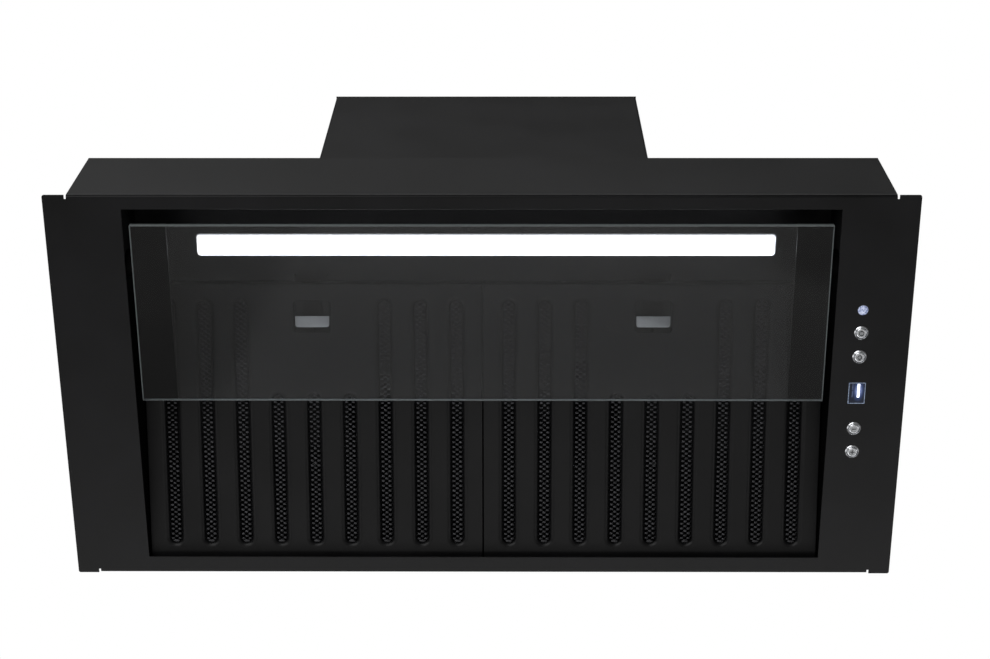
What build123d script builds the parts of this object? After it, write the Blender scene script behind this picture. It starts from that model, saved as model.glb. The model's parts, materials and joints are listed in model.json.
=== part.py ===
from build123d import *
import math
import os

# Under cabinet range hood, millimetres. +X is to the right seen from the cook's side, +Y points to
# the wall and +Z up. The origin is the middle of the plate's outline, level with the button faces,
# which are the lowest point. Most places are a distance back from the plate's front edge, turned
# into Y by back(), and a height above the plate's underside, turned into Z by up().

# ---- sheet metal body
PLATE_W = 598.0          # bottom plate, as wide as the cabinet it closes
PLATE_D = 295.0
SHEET = 1.0
BEND_R = 1.0             # inside radius of every fold
EAR_W = 16.5             # plate showing beyond each side wall, under the cabinet's side panels
EAR_CORNER_R = 1.5
RELIEF_W = 1.5           # notch where an ear meets a folded wall
RELIEF_D = 3.0
BODY_H = 80.0            # plate underside to the outside of the top panel
SIDE_STRIP = 53.15       # plate between its side edge and the opening
FRONT_STRIP = 10.4
REAR_STRIP = 13.3
RIM_R = 0.4              # eased lower edge of the opening
SIDE_LIP = 4.0           # folded lips of the side walls
WELL_GAP = 0.5           # opening edge to the inner wall beside the filters
WELL_LIP = 12.0
WALL_HOLE_R = 2.75       # screws into the cabinet's side panels
WALL_HOLE_BACK = (60.0, 235.0)
WALL_HOLE_UP = 66.0
DRIVER_HOLE_R = 6.0      # the same screws are reached through the inner walls

# ---- lamp
LAMP_BACK = 82.0         # rear face of the lamp panel's back lip
LAMP_UP = 47.0           # underside of the lamp panel
LAMP_LIP = 13.0
DIFFUSER_L = 412.0
DIFFUSER_W = 17.0
DIFFUSER_T = 3.0
DIFFUSER_R = 3.0         # corners of the strip
DIFFUSER_BACK = 53.5     # middle of the strip
DIFFUSER_SHIFT = 2.5     # the strip sits a little right of centre
DIFFUSER_FLANGE = 3.0
DIFFUSER_PROUD = 0.5
DIFFUSER_GAP = 0.25
LED_PITCH = 15.0
LED_SIZE = 3.0
BOARD_T = 1.6
LAMP_HOUSING_H = 12.0
DRIVER_L, DRIVER_W, DRIVER_H = 95.0, 26.0, 22.0

# ---- glass visor
GLASS_GAP = 4.65         # opening edge to glass, each side
GLASS_BACK = 22.1        # front edge of the glass
GLASS_D = 132.4
GLASS_T = 4.0
GLASS_EASE = 0.4
BAND_W = 24.7            # sheet bracket bonded along each end of the glass
PIVOT_BACK = 53.6
PIVOT_UP = 12.0
PIVOT_PIN_R = 2.5
PIVOT_BUSH_R = 9.5
PIVOT_HEAD_R = 4.0
PIVOT_HEAD_T = 1.5
ARM_R = 6.0
RUN_GAP = 0.05           # radial play of a pin in its bore
SIDE_GAP = 0.3           # end play beside a moving piece

# ---- grease filters, two side by side
FILTER_PAIR_GAP = 0.8    # between the two filters
FILTER_SIDE_GAP = 0.45
FILTER_T = 9.0
FILTER_SKIN = 0.8
FILTER_FRONT_BACK = 83.2
FILTER_FRONT_UP = 46.4
FILTER_REAR_INSET = 9.5  # filter's rear edge to the plate's rear edge
FILTER_REAR_UP = 6.6
RIM_LIP = 6.0
CHANNEL_PITCH = 26.0
CHANNEL_W = 13.0
CHANNEL_DEEP = 2.0
CHANNEL_EDGE = 18.0      # least distance from a channel's middle to the filter's side
CHANNEL_FRONT = 10.3     # filter's front edge to the long channels
CHANNEL_REAR = 8.5       # channels to the filter's rear edge
SHORT_CHANNEL_FRONT = 79.9
MAT_T = 4.0              # grease mat behind the channels
MAT_INSET = 3.0
CUP_FRONT = 12.5         # filter's front edge to the hole of the finger cup
CUP_L = 23.0
CUP_W = 26.5
CUP_R = 3.0
CUP_HIDDEN = 7.0         # the cup runs on behind its hole, where the lever travels
CUP_DEEP = 7.2
CUP_WALL = 0.8
LEVER_W = 24.5
LEVER_T = 1.2
LEVER_L = 8.0
LEVER_FRONT = 24.0
BOLT_W = 14.0
BOLT_T = 1.6
BOLT_LOW = 5.0           # underside of the bolt above the filter's lower face
BOLT_REACH = 3.6         # bolt tip ahead of the filter's front edge
BOLT_TRAVEL = 5.0
SPRING_R = 1.3
LEAF_W = 22.0
LEAF_T = 0.8
LEAF_FOOT = 4.5          # flat part of the leaf that lies on the lamp panel
LEAF_STEP = 3.5
LEAF_GAP = 0.2
HINGE_INSET = 4.6        # filter hinge axis to the plate's rear edge
HINGE_UP = 8.5
HINGE_PIN_R = 2.0
HINGE_PIN_L = 8.0
HINGE_EDGE = 30.0        # hinge pins to the filter's sides
CRADLE_T = 1.5
CRADLE_TOP = 12.0
RAIL_D = 10.0

# ---- controls on the right-hand strip
PANEL_FROM_EDGE = 34.0   # middle of the column to the plate's side edge
DISPLAY_BACK = 148.2
DISPLAY_W, DISPLAY_L = 12.2, 16.6
BUTTON_NEAR, BUTTON_FAR = 28.0, 46.4   # either side of the display
SENSOR_FROM_DISPLAY = 63.5
SENSOR_R = 3.8
BEZEL_R = 5.1
BEZEL_LIP = 0.6
BEZEL_BARREL_R = 4.5
BUTTON_R = 3.9
BUTTON_PLAY = 0.25
BUTTON_PROUD = 1.0
BUTTON_FLANGE = 0.8
BUTTON_TRAVEL = 1.0
STEM_R = 1.5
TRAY_W = 26.0
TRAY_END = 16.0
TRAY_WALL = 1.5
TRAY_H = 16.0
CONTROL_BOARD_UP = 10.5
SWITCH_SIZE = 6.0
SWITCH_H = 3.0

# ---- motor box on top
BOX_W = 245.0
BOX_D = 250.0
BOX_H = 210.0
BOX_FRONT = 17.0
BOX_FOOT = 12.0
LID_LIP = 12.0
AIR_W, AIR_D = 205.0, 205.0
AIR_R = 10.0

# ---- blower
WHEEL_GAP = 11.0         # impeller to the scroll at its narrowest
WHEEL_W = 92.0
BLADE_N = 36
BLADE_L = 9.0
BLADE_T = 0.8
WHEEL_DISC = 2.0
RING_T = 2.5
SCROLL_R = 66.0
SCROLL_STEP = 8.0        # the scroll's radius grows by this every quarter turn
SCROLL_W = 110.0
SCROLL_WALL = 2.0
TONGUE_BACK = 15.0       # the tongue lies this far ahead of the wheel's axis
TONGUE_R = 8.0
INLET_LIP = 5.0          # the inlet is this much smaller in radius than the impeller
SCROLL_FLANGE = 8.0
SCROLL_FLOOR = 15.0
SHAFT_R = 4.0
BEARING_R = 11.0
BEARING_W = 7.0
MOTOR_CLEAR = 10.0       # blades to the motor
MOTOR_L = 44.0
MOTOR_GAP = 4.0
BRACKET_T = 3.0
BRACKET_ARM = 12.0
RUBBER_R = 6.0
CAPACITOR_R, CAPACITOR_L = 15.0, 52.0
TERMINAL_W, TERMINAL_D, TERMINAL_H = 50.0, 26.0, 40.0

# ---- outlet
COLLAR_R = 74.5          # for a 150 mm duct
COLLAR_WALL = 2.0
COLLAR_H = 45.0
COLLAR_FLANGE = 10.0
FLAP_GAP = 1.0
FLAP_T = 1.2
FLAP_UP = 14.0
FLAP_PIN_R = 2.0
KNUCKLE_R = 4.0
KNUCKLE_CLEAR = 12.5     # outer knuckles to the collar's bore
SEAT_W = 3.0
GLAND_R, GLAND_H, GLAND_BORE = 10.0, 9.0, 4.0
GLAND_FROM_BACK = 26.0
GLAND_FROM_SIDE = 26.0

# ---- screws
SCREW_R = 1.9
SCREW_HEAD_R = 3.6
SCREW_HEAD_H = 2.2
SCREW_L = 8.0

# ---- worked out from the above
BODY_W = PLATE_W - 2 * EAR_W
OPEN_W = PLATE_W - 2 * SIDE_STRIP
WELL_X = OPEN_W / 2 + WELL_GAP
PANEL_X = PLATE_W / 2 - PANEL_FROM_EDGE
FILTER_W = (OPEN_W - FILTER_PAIR_GAP) / 2 - FILTER_SIDE_GAP
FILTER_X = (FILTER_PAIR_GAP + FILTER_W) / 2
FILTER_REAR_BACK = PLATE_D - FILTER_REAR_INSET
FILTER_RUN = FILTER_REAR_BACK - FILTER_FRONT_BACK
FILTER_RISE = FILTER_FRONT_UP - FILTER_REAR_UP
FILTER_L = math.hypot(FILTER_RUN, FILTER_RISE)
FILTER_TILT = math.degrees(math.atan2(FILTER_RISE, FILTER_RUN))
GLASS_W = OPEN_W - 2 * GLASS_GAP
WHEEL_R = SCROLL_R - WHEEL_GAP
INLET_R = WHEEL_R - INLET_LIP
OUTLET_W = SCROLL_R + 3 * SCROLL_STEP - TONGUE_BACK
MOTOR_R = WHEEL_R - BLADE_L - MOTOR_CLEAR
COLLAR_BORE = COLLAR_R - COLLAR_WALL
KNUCKLE_L = (COLLAR_BORE - KNUCKLE_CLEAR) / 2


def back(distance):
    """Y of a place this far behind the plate's front edge."""
    return distance - PLATE_D / 2


def up(height):
    """Z of a place this far above the plate's underside."""
    return height + BUTTON_PROUD


PLATE_TOP = up(SHEET)
BODY_TOP = up(BODY_H)
WALL_TOP = BODY_TOP - SHEET
FRONT, REAR = back(0), back(PLATE_D)
BOX_MID = back(BOX_FRONT + BOX_D / 2)
BOX_TOP = BODY_TOP + BOX_H
LID_UNDER = BOX_TOP - SHEET
WHEEL_Y = BOX_MID + SCROLL_R + 3 * SCROLL_STEP - OUTLET_W / 2
WHEEL_Z = BODY_TOP + SCROLL_FLOOR + SCROLL_R + SCROLL_STEP


# ---- helpers

def block(x0, x1, y0, y1, z0, z1):
    middle = Pos((x0 + x1) / 2, (y0 + y1) / 2, (z0 + z1) / 2)
    return middle * Box(abs(x1 - x0), abs(y1 - y0), abs(z1 - z0))


def rod_z(x, y, radius, z0, z1):
    return Pos(x, y, (z0 + z1) / 2) * Cylinder(radius, abs(z1 - z0))


def rod_x(y, z, radius, x0, x1):
    return Pos((x0 + x1) / 2, y, z) * Rot(0, 90, 0) * Cylinder(radius, abs(x1 - x0))


def rod_y(x, z, radius, y0, y1):
    return Pos(x, (y0 + y1) / 2, z) * Rot(90, 0, 0) * Cylinder(radius, abs(y1 - y0))


def stadium(x, y, length, width, z0, z1, turn=0):
    """A slot-shaped pad, its length along X, or along Y when turned by 90 degrees."""
    return Pos(x, y, z0) * Rot(0, 0, turn) * extrude(SlotOverall(length, width), z1 - z0)


def along_x(sketch, x0, x1):
    """Extrudes a section drawn in (Y, Z)."""
    return extrude(Plane.YZ.offset(x0) * sketch, x1 - x0)


def along_y(sketch, y0, y1):
    """Extrudes a section drawn in (X, Z)."""
    return extrude(Plane.XZ.offset(-y0) * sketch, -(y1 - y0))


def both(part):
    """A piece and its mirror image, for the left and right ends."""
    return part + mirror(part, Plane.YZ)


def round_corners(part, radius, axis=Axis.Z):
    return fillet(part.edges().filter_by(axis), radius)


def bent_sheet(path, thickness=SHEET, inside=BEND_R):
    """Section of a folded sheet: path is one face, and the metal lies on its left."""
    steps = [Vector(b[0] - a[0], b[1] - a[1]).normalized() for a, b in zip(path, path[1:])]
    lefts = [Vector(-s.Y, s.X) for s in steps]
    offsets = [lefts[0]]
    for n1, n2 in zip(lefts, lefts[1:]):
        offsets.append((n1 + n2) * (1 / (1 + n1.dot(n2))))
    offsets.append(lefts[-1])
    other = [(p[0] + o.X * thickness, p[1] + o.Y * thickness) for p, o in zip(path, offsets)]
    section = make_face(Polyline(*path, *reversed(other), close=True))
    for i in range(1, len(path) - 1):
        turns_left = steps[i - 1].cross(steps[i]).Z > 0
        near, far = (other[i], path[i]) if turns_left else (path[i], other[i])
        for point, radius in ((near, inside), (far, inside + thickness)):
            section = fillet(section.vertices().sort_by_distance(Vector(*point))[0], radius)
    return section


def screw(x, y, z, turn=(0, 0, 0)):
    """Pan head screw, its head standing on z and its shank pointing down before the turn."""
    head = Pos(0, 0, SCREW_HEAD_H / 2) * Cylinder(SCREW_HEAD_R, SCREW_HEAD_H)
    head = fillet(head.edges().filter_by(GeomType.CIRCLE).sort_by(Axis.Z)[-1], SCREW_HEAD_H * 0.6)
    shank = Pos(0, 0, -SCREW_L / 2) * Cylinder(SCREW_R, SCREW_L)
    return Pos(x, y, z) * Rot(*turn) * (head + shank)


os.makedirs("parts", exist_ok=True)


def write(node, *pieces):
    solids = [solid for piece in pieces for solid in piece.solids()]
    shape = solids[0] if len(solids) == 1 else Compound(children=solids)
    shape.label = node
    export_step(shape, f"parts/{node}.step")


# ---- body

def button_backs():
    return [DISPLAY_BACK + d for d in (-BUTTON_FAR, -BUTTON_NEAR, BUTTON_NEAR, BUTTON_FAR)]


def panel_holes(z0, z1):
    """Everything that passes through the plate and the tray's floor at the control column."""
    holes = block(PANEL_X - DISPLAY_W / 2, PANEL_X + DISPLAY_W / 2,
                  back(DISPLAY_BACK - DISPLAY_L / 2), back(DISPLAY_BACK + DISPLAY_L / 2), z0, z1)
    for distance in button_backs():
        holes += rod_z(PANEL_X, back(distance), BEZEL_BARREL_R, z0, z1)
    return holes + rod_z(PANEL_X, back(DISPLAY_BACK - SENSOR_FROM_DISPLAY), SENSOR_R, z0, z1)


def bottom_frame():
    folded = bent_sheet([(FRONT, WALL_TOP), (FRONT, up(0)), (REAR, up(0)), (REAR, WALL_TOP)])
    frame = along_x(folded, -BODY_W / 2, BODY_W / 2)
    ear = block(BODY_W / 2, PLATE_W / 2, FRONT, REAR, up(0), PLATE_TOP)
    corners = ear.edges().filter_by(Axis.Z).group_by(Axis.X)[-1]
    frame += both(fillet(corners, EAR_CORNER_R))
    for y0, y1 in ((FRONT, FRONT + RELIEF_D), (REAR - RELIEF_D, REAR)):
        frame -= both(block(BODY_W / 2, BODY_W / 2 + RELIEF_W, y0, y1, up(0), PLATE_TOP))
    frame -= block(-OPEN_W / 2, OPEN_W / 2, FRONT + FRONT_STRIP, REAR - REAR_STRIP, up(0), PLATE_TOP)
    rim = [e for e in frame.edges().filter_by(GeomType.LINE)
           if abs(e.center().Z - up(0)) < 1e-3 and is_on_opening(e.center())]
    frame = fillet(rim, RIM_R)
    return frame - panel_holes(up(0), PLATE_TOP)


def is_on_opening(point):
    inside_x = abs(point.X) < OPEN_W / 2 + 1e-3
    return inside_x and FRONT + FRONT_STRIP - 1e-3 < point.Y < REAR - REAR_STRIP + 1e-3


def side_wall():
    x = BODY_W / 2
    section = bent_sheet([(x - SIDE_LIP, PLATE_TOP), (x, PLATE_TOP), (x, WALL_TOP), (x - SIDE_LIP, WALL_TOP)])
    wall = along_y(section, FRONT + SHEET, REAR - SHEET)
    for distance in WALL_HOLE_BACK:
        wall -= rod_x(back(distance), up(WALL_HOLE_UP), WALL_HOLE_R, x - 2 * SHEET, x + SHEET)
    return clear_of_folds(wall, x - SIDE_LIP, x)


def clear_of_folds(wall, x0, x1):
    """Takes a wall's lower corners off, where the plate folds up into its front and rear walls."""
    for y0, y1 in ((FRONT, FRONT + SHEET + BEND_R), (REAR - SHEET - BEND_R, REAR)):
        wall -= block(x0 - 1, x1 + 1, y0, y1, up(0), PLATE_TOP + BEND_R)
    return wall


def well_side():
    """Inner wall beside the filters, which also carries one visor pivot."""
    section = bent_sheet([(WELL_X + WELL_LIP, WALL_TOP), (WELL_X, WALL_TOP), (WELL_X, PLATE_TOP)])
    wall = along_y(section, FRONT + SHEET, REAR - SHEET)
    wall -= rod_x(back(PIVOT_BACK), up(PIVOT_UP), PIVOT_PIN_R, WELL_X - SHEET, WELL_X + 2 * SHEET)
    for distance in WALL_HOLE_BACK:
        wall -= rod_x(back(distance), up(WALL_HOLE_UP), DRIVER_HOLE_R, WELL_X - SHEET, WELL_X + 2 * SHEET)
    wall = clear_of_folds(wall, WELL_X, WELL_X + SHEET)
    return wall - body_screw_holes(WALL_TOP - 2 * SHEET, WALL_TOP)


def body_screw_places():
    x = WELL_X + WELL_LIP * 0.6
    return [(side * x, y) for side in (-1, 1) for y in (FRONT + 40, 0, REAR - 40)]


def body_screw_holes(z0, z1):
    return sum((rod_z(x, y, SCREW_R, z0, z1) for x, y in body_screw_places()), Part())


def top_panel():
    panel = block(-BODY_W / 2, BODY_W / 2, FRONT, REAR, WALL_TOP, BODY_TOP)
    air = round_corners(block(-AIR_W / 2, AIR_W / 2, BOX_MID - AIR_D / 2, BOX_MID + AIR_D / 2,
                              WALL_TOP, BODY_TOP), AIR_R)
    return panel - air - body_screw_holes(WALL_TOP, BODY_TOP) - foot_screw_holes(WALL_TOP, BODY_TOP)


# ---- lamp

def latch_notch():
    """Gap in the lamp panel's back lip that a filter's bolt passes through."""
    half = LEAF_W / 2 + 1
    notch = block(FILTER_X - half, FILTER_X + half, back(LAMP_BACK - 7), back(LAMP_BACK + 1),
                  up(LAMP_UP - 1), up(LAMP_UP + 10))
    return both(notch)


def lamp_panel():
    y0, y1, z0 = back(SHEET), back(LAMP_BACK), up(LAMP_UP)
    section = bent_sheet([(y0, z0 + LAMP_LIP), (y0, z0), (y1, z0), (y1, z0 + LAMP_LIP)])
    panel = along_x(section, -WELL_X, WELL_X)
    return panel - strip(0, z0, z0 + SHEET) - latch_notch()


def strip(grow, z0, z1):
    """Pad with the outline of the lamp's opening, grown or shrunk on every side."""
    y, x1, y1 = back(DIFFUSER_BACK), DIFFUSER_L / 2 + grow, DIFFUSER_W / 2 + grow
    pad = block(DIFFUSER_SHIFT - x1, DIFFUSER_SHIFT + x1, y - y1, y + y1, z0, z1)
    return round_corners(pad, DIFFUSER_R + grow)


def led_diffuser():
    z0 = up(LAMP_UP)
    lens = strip(-DIFFUSER_GAP, z0 - DIFFUSER_PROUD, z0 + DIFFUSER_T)
    return lens + strip(DIFFUSER_FLANGE, z0 + SHEET, z0 + DIFFUSER_T)


def lamp_housing_half():
    return DIFFUSER_W / 2 + DIFFUSER_FLANGE + SHEET + 0.5


def lamp_housing():
    """Channel over the diffuser that holds the light board and throws the light down."""
    y, z0 = back(DIFFUSER_BACK), up(LAMP_UP) + SHEET
    half = lamp_housing_half()
    z1 = z0 + LAMP_HOUSING_H
    section = bent_sheet([(y + half, z0), (y + half, z1), (y - half, z1), (y - half, z0)])
    length = DIFFUSER_L + 2 * DIFFUSER_FLANGE + 4
    return along_x(section, DIFFUSER_SHIFT - length / 2, DIFFUSER_SHIFT + length / 2)


def led_board():
    y, z1 = back(DIFFUSER_BACK), up(LAMP_UP) + LAMP_HOUSING_H
    board = block(DIFFUSER_SHIFT - DIFFUSER_L / 2, DIFFUSER_SHIFT + DIFFUSER_L / 2,
                  y - DIFFUSER_W / 2, y + DIFFUSER_W / 2, z1 - BOARD_T, z1)
    count = int((DIFFUSER_L - LED_PITCH) / LED_PITCH) + 1
    for i in range(count):
        x = DIFFUSER_SHIFT + (i - (count - 1) / 2) * LED_PITCH
        board += block(x - LED_SIZE / 2, x + LED_SIZE / 2, y - LED_SIZE / 2, y + LED_SIZE / 2,
                       z1 - BOARD_T - 0.8, z1 - BOARD_T)
    return board


def led_driver():
    x = -(WELL_X + SHEET + (BODY_W / 2 - SHEET - WELL_X - SHEET) / 2)
    case = block(x - DRIVER_W / 2, x + DRIVER_W / 2, back(DISPLAY_BACK) - DRIVER_L / 2,
                 back(DISPLAY_BACK) + DRIVER_L / 2, PLATE_TOP, PLATE_TOP + DRIVER_H)
    return round_corners(case, 2)


# ---- visor

def visor_glass():
    glass = block(-GLASS_W / 2, GLASS_W / 2, back(GLASS_BACK), back(GLASS_BACK + GLASS_D),
                  up(0), up(GLASS_T))
    return chamfer(glass.edges(), GLASS_EASE)


def visor_bracket():
    """Sheet bracket bonded on one end of the glass, with the arm that hangs on the pivot."""
    x1 = GLASS_W / 2
    base = block(x1 - BAND_W, x1, back(GLASS_BACK), back(GLASS_BACK + GLASS_D),
                 up(GLASS_T), up(GLASS_T + SHEET))
    y, z = back(PIVOT_BACK), up(PIVOT_UP)
    arm = block(x1 - SHEET, x1, y - ARM_R, y + ARM_R, up(GLASS_T), z)
    arm += rod_x(y, z, ARM_R, x1 - SHEET, x1)
    return base + arm - rod_x(y, z, PIVOT_PIN_R + RUN_GAP, x1 - 2 * SHEET, x1 + SHEET)


def visor_pivot():
    y, z = back(PIVOT_BACK), up(PIVOT_UP)
    head_x = GLASS_W / 2 - SHEET - SIDE_GAP
    pin = rod_x(y, z, PIVOT_PIN_R, head_x, WELL_X + SHEET)
    pin += rod_x(y, z, PIVOT_HEAD_R, head_x - PIVOT_HEAD_T, head_x)
    return pin + rod_x(y, z, PIVOT_HEAD_R, WELL_X + SHEET, WELL_X + SHEET + PIVOT_HEAD_T)


def visor_bush():
    y, z = back(PIVOT_BACK), up(PIVOT_UP)
    bush = rod_x(y, z, PIVOT_BUSH_R, GLASS_W / 2 + SIDE_GAP, WELL_X)
    return bush - rod_x(y, z, PIVOT_PIN_R, GLASS_W / 2, WELL_X + SHEET)


# ---- grease filters, drawn flat with the rear lower edge on X and the front towards -Y

def filter_place(side):
    return Pos(side * FILTER_X, back(FILTER_REAR_BACK), up(FILTER_REAR_UP)) * Rot(-FILTER_TILT, 0, 0)


def flat(x0, x1, front0, front1, z0, z1):
    """Block in the flat filter, placed by distance from its front edge."""
    return block(x0, x1, front0 - FILTER_L, front1 - FILTER_L, z0, z1)


def channels():
    """Middle line, front end and rear end of each pressed channel, by distance from the front."""
    steps = int((FILTER_W / 2 - CHANNEL_EDGE) / CHANNEL_PITCH)
    rear = FILTER_L - CHANNEL_REAR
    places = []
    for i in range(-steps, steps + 1):
        under_cup = abs(i) * CHANNEL_PITCH - CHANNEL_W / 2 < CUP_W / 2 + CHANNEL_W
        places.append((i * CHANNEL_PITCH, SHORT_CHANNEL_FRONT if under_cup else CHANNEL_FRONT, rear))
    return places


def channel_pads(width, z0, z1, shrink=0.0):
    pads = Part()
    for x, front, rear in channels():
        middle = (front + rear) / 2 - FILTER_L
        pads += stadium(x, middle, rear - front - 2 * shrink, width, z0, z1, turn=90)
    return pads


def filter_face():
    """Pressed face sheet: flat, with channels sunk into the filter and a hole for the finger cup."""
    half = FILTER_W / 2
    face = flat(-half, half, 0, FILTER_L, 0, FILTER_SKIN)
    face += channel_pads(CHANNEL_W, FILTER_SKIN, FILTER_SKIN + CHANNEL_DEEP)
    face -= channel_pads(CHANNEL_W - 2 * FILTER_SKIN, 0, CHANNEL_DEEP, shrink=FILTER_SKIN)
    return face - cup_hole(0, FILTER_SKIN)


def cup_hole(z0, z1):
    hole = flat(-CUP_W / 2, CUP_W / 2, CUP_FRONT, CUP_FRONT + CUP_L, z0, z1)
    return round_corners(hole, CUP_R)


def filter_frame():
    """Folded rim behind the face, with two arms that carry the hinge pins."""
    half = FILTER_W / 2
    rim = flat(-half, half, 0, FILTER_L, FILTER_SKIN, FILTER_T)
    rim -= flat(-half + FILTER_SKIN, half - FILTER_SKIN, FILTER_SKIN, FILTER_L - FILTER_SKIN,
                FILTER_SKIN, FILTER_T - FILTER_SKIN)
    rim -= flat(-half + RIM_LIP, half - RIM_LIP, RIM_LIP, FILTER_L - RIM_LIP,
                FILTER_T - FILTER_SKIN, FILTER_T)
    play = 0.4
    rim -= flat(-BOLT_W / 2 - play, BOLT_W / 2 + play, -1, RIM_LIP + 1, BOLT_LOW - play,
                BOLT_LOW + BOLT_T + play)
    return rim


def hinge_pin_places():
    x = FILTER_W / 2 - HINGE_EDGE
    return (-x, x)


def filter_hinge(side):
    """Hinge pins on the rear edge of one filter, each held by an arm beside its cradle."""
    y, z = back(PLATE_D - HINGE_INSET), up(HINGE_UP)
    rear = back(FILTER_REAR_BACK)
    pins = Part()
    for x in hinge_pin_places():
        x0 = side * FILTER_X + x
        pins += rod_x(y, z, HINGE_PIN_R, x0 - HINGE_PIN_L / 2, x0 + HINGE_PIN_L / 2)
        for inner in (x0 - HINGE_PIN_L / 2, x0 + HINGE_PIN_L / 2 - CRADLE_T):
            pins += block(inner, inner + CRADLE_T, rear - 0.2, y, z - HINGE_PIN_R / 2, z + HINGE_PIN_R)
    return pins


def filter_mesh():
    """Mat of expanded mesh that lies over the channels, cut away round the latch."""
    half = FILTER_W / 2 - MAT_INSET
    z0 = FILTER_SKIN + CHANNEL_DEEP + 0.2
    mat = flat(-half, half, MAT_INSET, FILTER_L - MAT_INSET, z0, z0 + MAT_T)
    cut = CUP_W / 2 + 2
    return mat - flat(-cut, cut, 0, CUP_FRONT + CUP_L + CUP_HIDDEN + 3, z0, z0 + MAT_T)


def latch_cup():
    x, wall = CUP_W / 2, CUP_WALL
    front, rear = CUP_FRONT, CUP_FRONT + CUP_L + CUP_HIDDEN
    z0, z1 = FILTER_SKIN, FILTER_SKIN + CUP_DEEP
    cup = flat(-x - wall, x + wall, front - wall, rear + wall, z0, z1)
    cup -= flat(-x, x, front, rear, z0, z1 - wall)
    play = 0.4
    cup -= flat(-BOLT_W / 2 - play, BOLT_W / 2 + play, front - wall, front, BOLT_LOW - play,
                BOLT_LOW + BOLT_T + play)
    return cup


def latch_lever():
    """Sliding bolt with the finger plate that pulls it back."""
    rear = LEVER_FRONT + LEVER_L
    bolt = flat(-BOLT_W / 2, BOLT_W / 2, -BOLT_REACH, rear, BOLT_LOW, BOLT_LOW + BOLT_T)
    plate = flat(-LEVER_W / 2, LEVER_W / 2, LEVER_FRONT, rear, FILTER_SKIN + 0.4, FILTER_SKIN + 0.4 + LEVER_T)
    web = flat(-LEVER_W / 2, LEVER_W / 2, rear - LEVER_T, rear, FILTER_SKIN + 0.4, BOLT_LOW + BOLT_T)
    return round_corners(plate, 0.8) + web + bolt


def latch_spring():
    front, rear = LEVER_FRONT + LEVER_L, CUP_FRONT + CUP_L + CUP_HIDDEN
    z = BOLT_LOW + BOLT_T / 2
    coil = Pos(0, (front + rear) / 2 - FILTER_L, z) * Rot(90, 0, 0) * Cylinder(SPRING_R, rear - front)
    return coil


def catch_leaf(side):
    """Spring leaf on the lamp panel that the bolt rests on."""
    x, z0 = side * FILTER_X, up(LAMP_UP) + SHEET
    tilt = math.radians(FILTER_TILT)
    bolt_under = up(FILTER_FRONT_UP) + BOLT_REACH * math.sin(tilt) + BOLT_LOW * math.cos(tilt)
    z1 = bolt_under - LEAF_GAP - LEAF_T
    y0, y1 = back(DIFFUSER_BACK) + lamp_housing_half() + 1, back(LAMP_BACK - 0.6)
    path = [(y1, z1), (y0 + LEAF_FOOT + LEAF_STEP, z1), (y0 + LEAF_FOOT, z0), (y0, z0)]
    section = bent_sheet(path[::-1], LEAF_T, LEAF_T / 2)
    return along_x(section, x - LEAF_W / 2, x + LEAF_W / 2)


def filter_rail():
    """Angle behind the filters with an upright cradle under each hinge pin."""
    y, z = back(PLATE_D - HINGE_INSET), up(HINGE_UP)
    rear = REAR - SHEET - BEND_R
    rail = block(-WELL_X, WELL_X, rear - RAIL_D, rear, PLATE_TOP, PLATE_TOP + SHEET)
    for side in (-1, 1):
        for x in hinge_pin_places():
            x0 = side * FILTER_X + x
            rail += block(x0 - CRADLE_T / 2, x0 + CRADLE_T / 2, y - HINGE_PIN_R - 1.1, rear,
                          PLATE_TOP, up(CRADLE_TOP))
            rail -= rod_x(y, z, HINGE_PIN_R + RUN_GAP, x0 - CRADLE_T, x0 + CRADLE_T)
            rail -= block(x0 - CRADLE_T, x0 + CRADLE_T, y - HINGE_PIN_R - RUN_GAP,
                          y + HINGE_PIN_R + RUN_GAP, z, up(CRADLE_TOP) + 1)
    return rail


# ---- controls

def control_tray():
    """Open plastic tray over the column, with its floor on the plate."""
    y0 = back(DISPLAY_BACK - SENSOR_FROM_DISPLAY - TRAY_END)
    y1 = back(DISPLAY_BACK + BUTTON_FAR + TRAY_END)
    x0, x1 = PANEL_X - TRAY_W / 2, PANEL_X + TRAY_W / 2
    tray = round_corners(block(x0, x1, y0, y1, PLATE_TOP, PLATE_TOP + TRAY_H), 2)
    tray -= block(x0 + TRAY_WALL, x1 - TRAY_WALL, y0 + TRAY_WALL, y1 - TRAY_WALL,
                  PLATE_TOP + TRAY_WALL, PLATE_TOP + TRAY_H)
    return tray - panel_holes(PLATE_TOP, PLATE_TOP + TRAY_WALL)


def control_board():
    """Circuit board with the display soldered to its underside."""
    y0 = back(DISPLAY_BACK - SENSOR_FROM_DISPLAY - TRAY_END) + TRAY_WALL
    y1 = back(DISPLAY_BACK + BUTTON_FAR + TRAY_END) - TRAY_WALL
    half = TRAY_W / 2 - TRAY_WALL
    z = up(CONTROL_BOARD_UP)
    board = block(PANEL_X - half, PANEL_X + half, y0, y1, z, z + BOARD_T)
    x, y = DISPLAY_W / 2 - 0.6, DISPLAY_L / 2 - 0.6
    return board + block(PANEL_X - x, PANEL_X + x, back(DISPLAY_BACK) - y, back(DISPLAY_BACK) + y,
                         PLATE_TOP + TRAY_WALL + 0.2, z)


def button_bezel(distance):
    y = back(distance)
    ring = rod_z(PANEL_X, y, BEZEL_R, up(0) - BEZEL_LIP, up(0))
    ring = fillet(ring.edges().filter_by(GeomType.CIRCLE).sort_by(Axis.Z)[0], BEZEL_LIP * 0.6)
    ring += rod_z(PANEL_X, y, BEZEL_BARREL_R, up(0), PLATE_TOP + TRAY_WALL)
    return ring - rod_z(PANEL_X, y, BUTTON_R + BUTTON_PLAY, up(-2), up(10))


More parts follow.
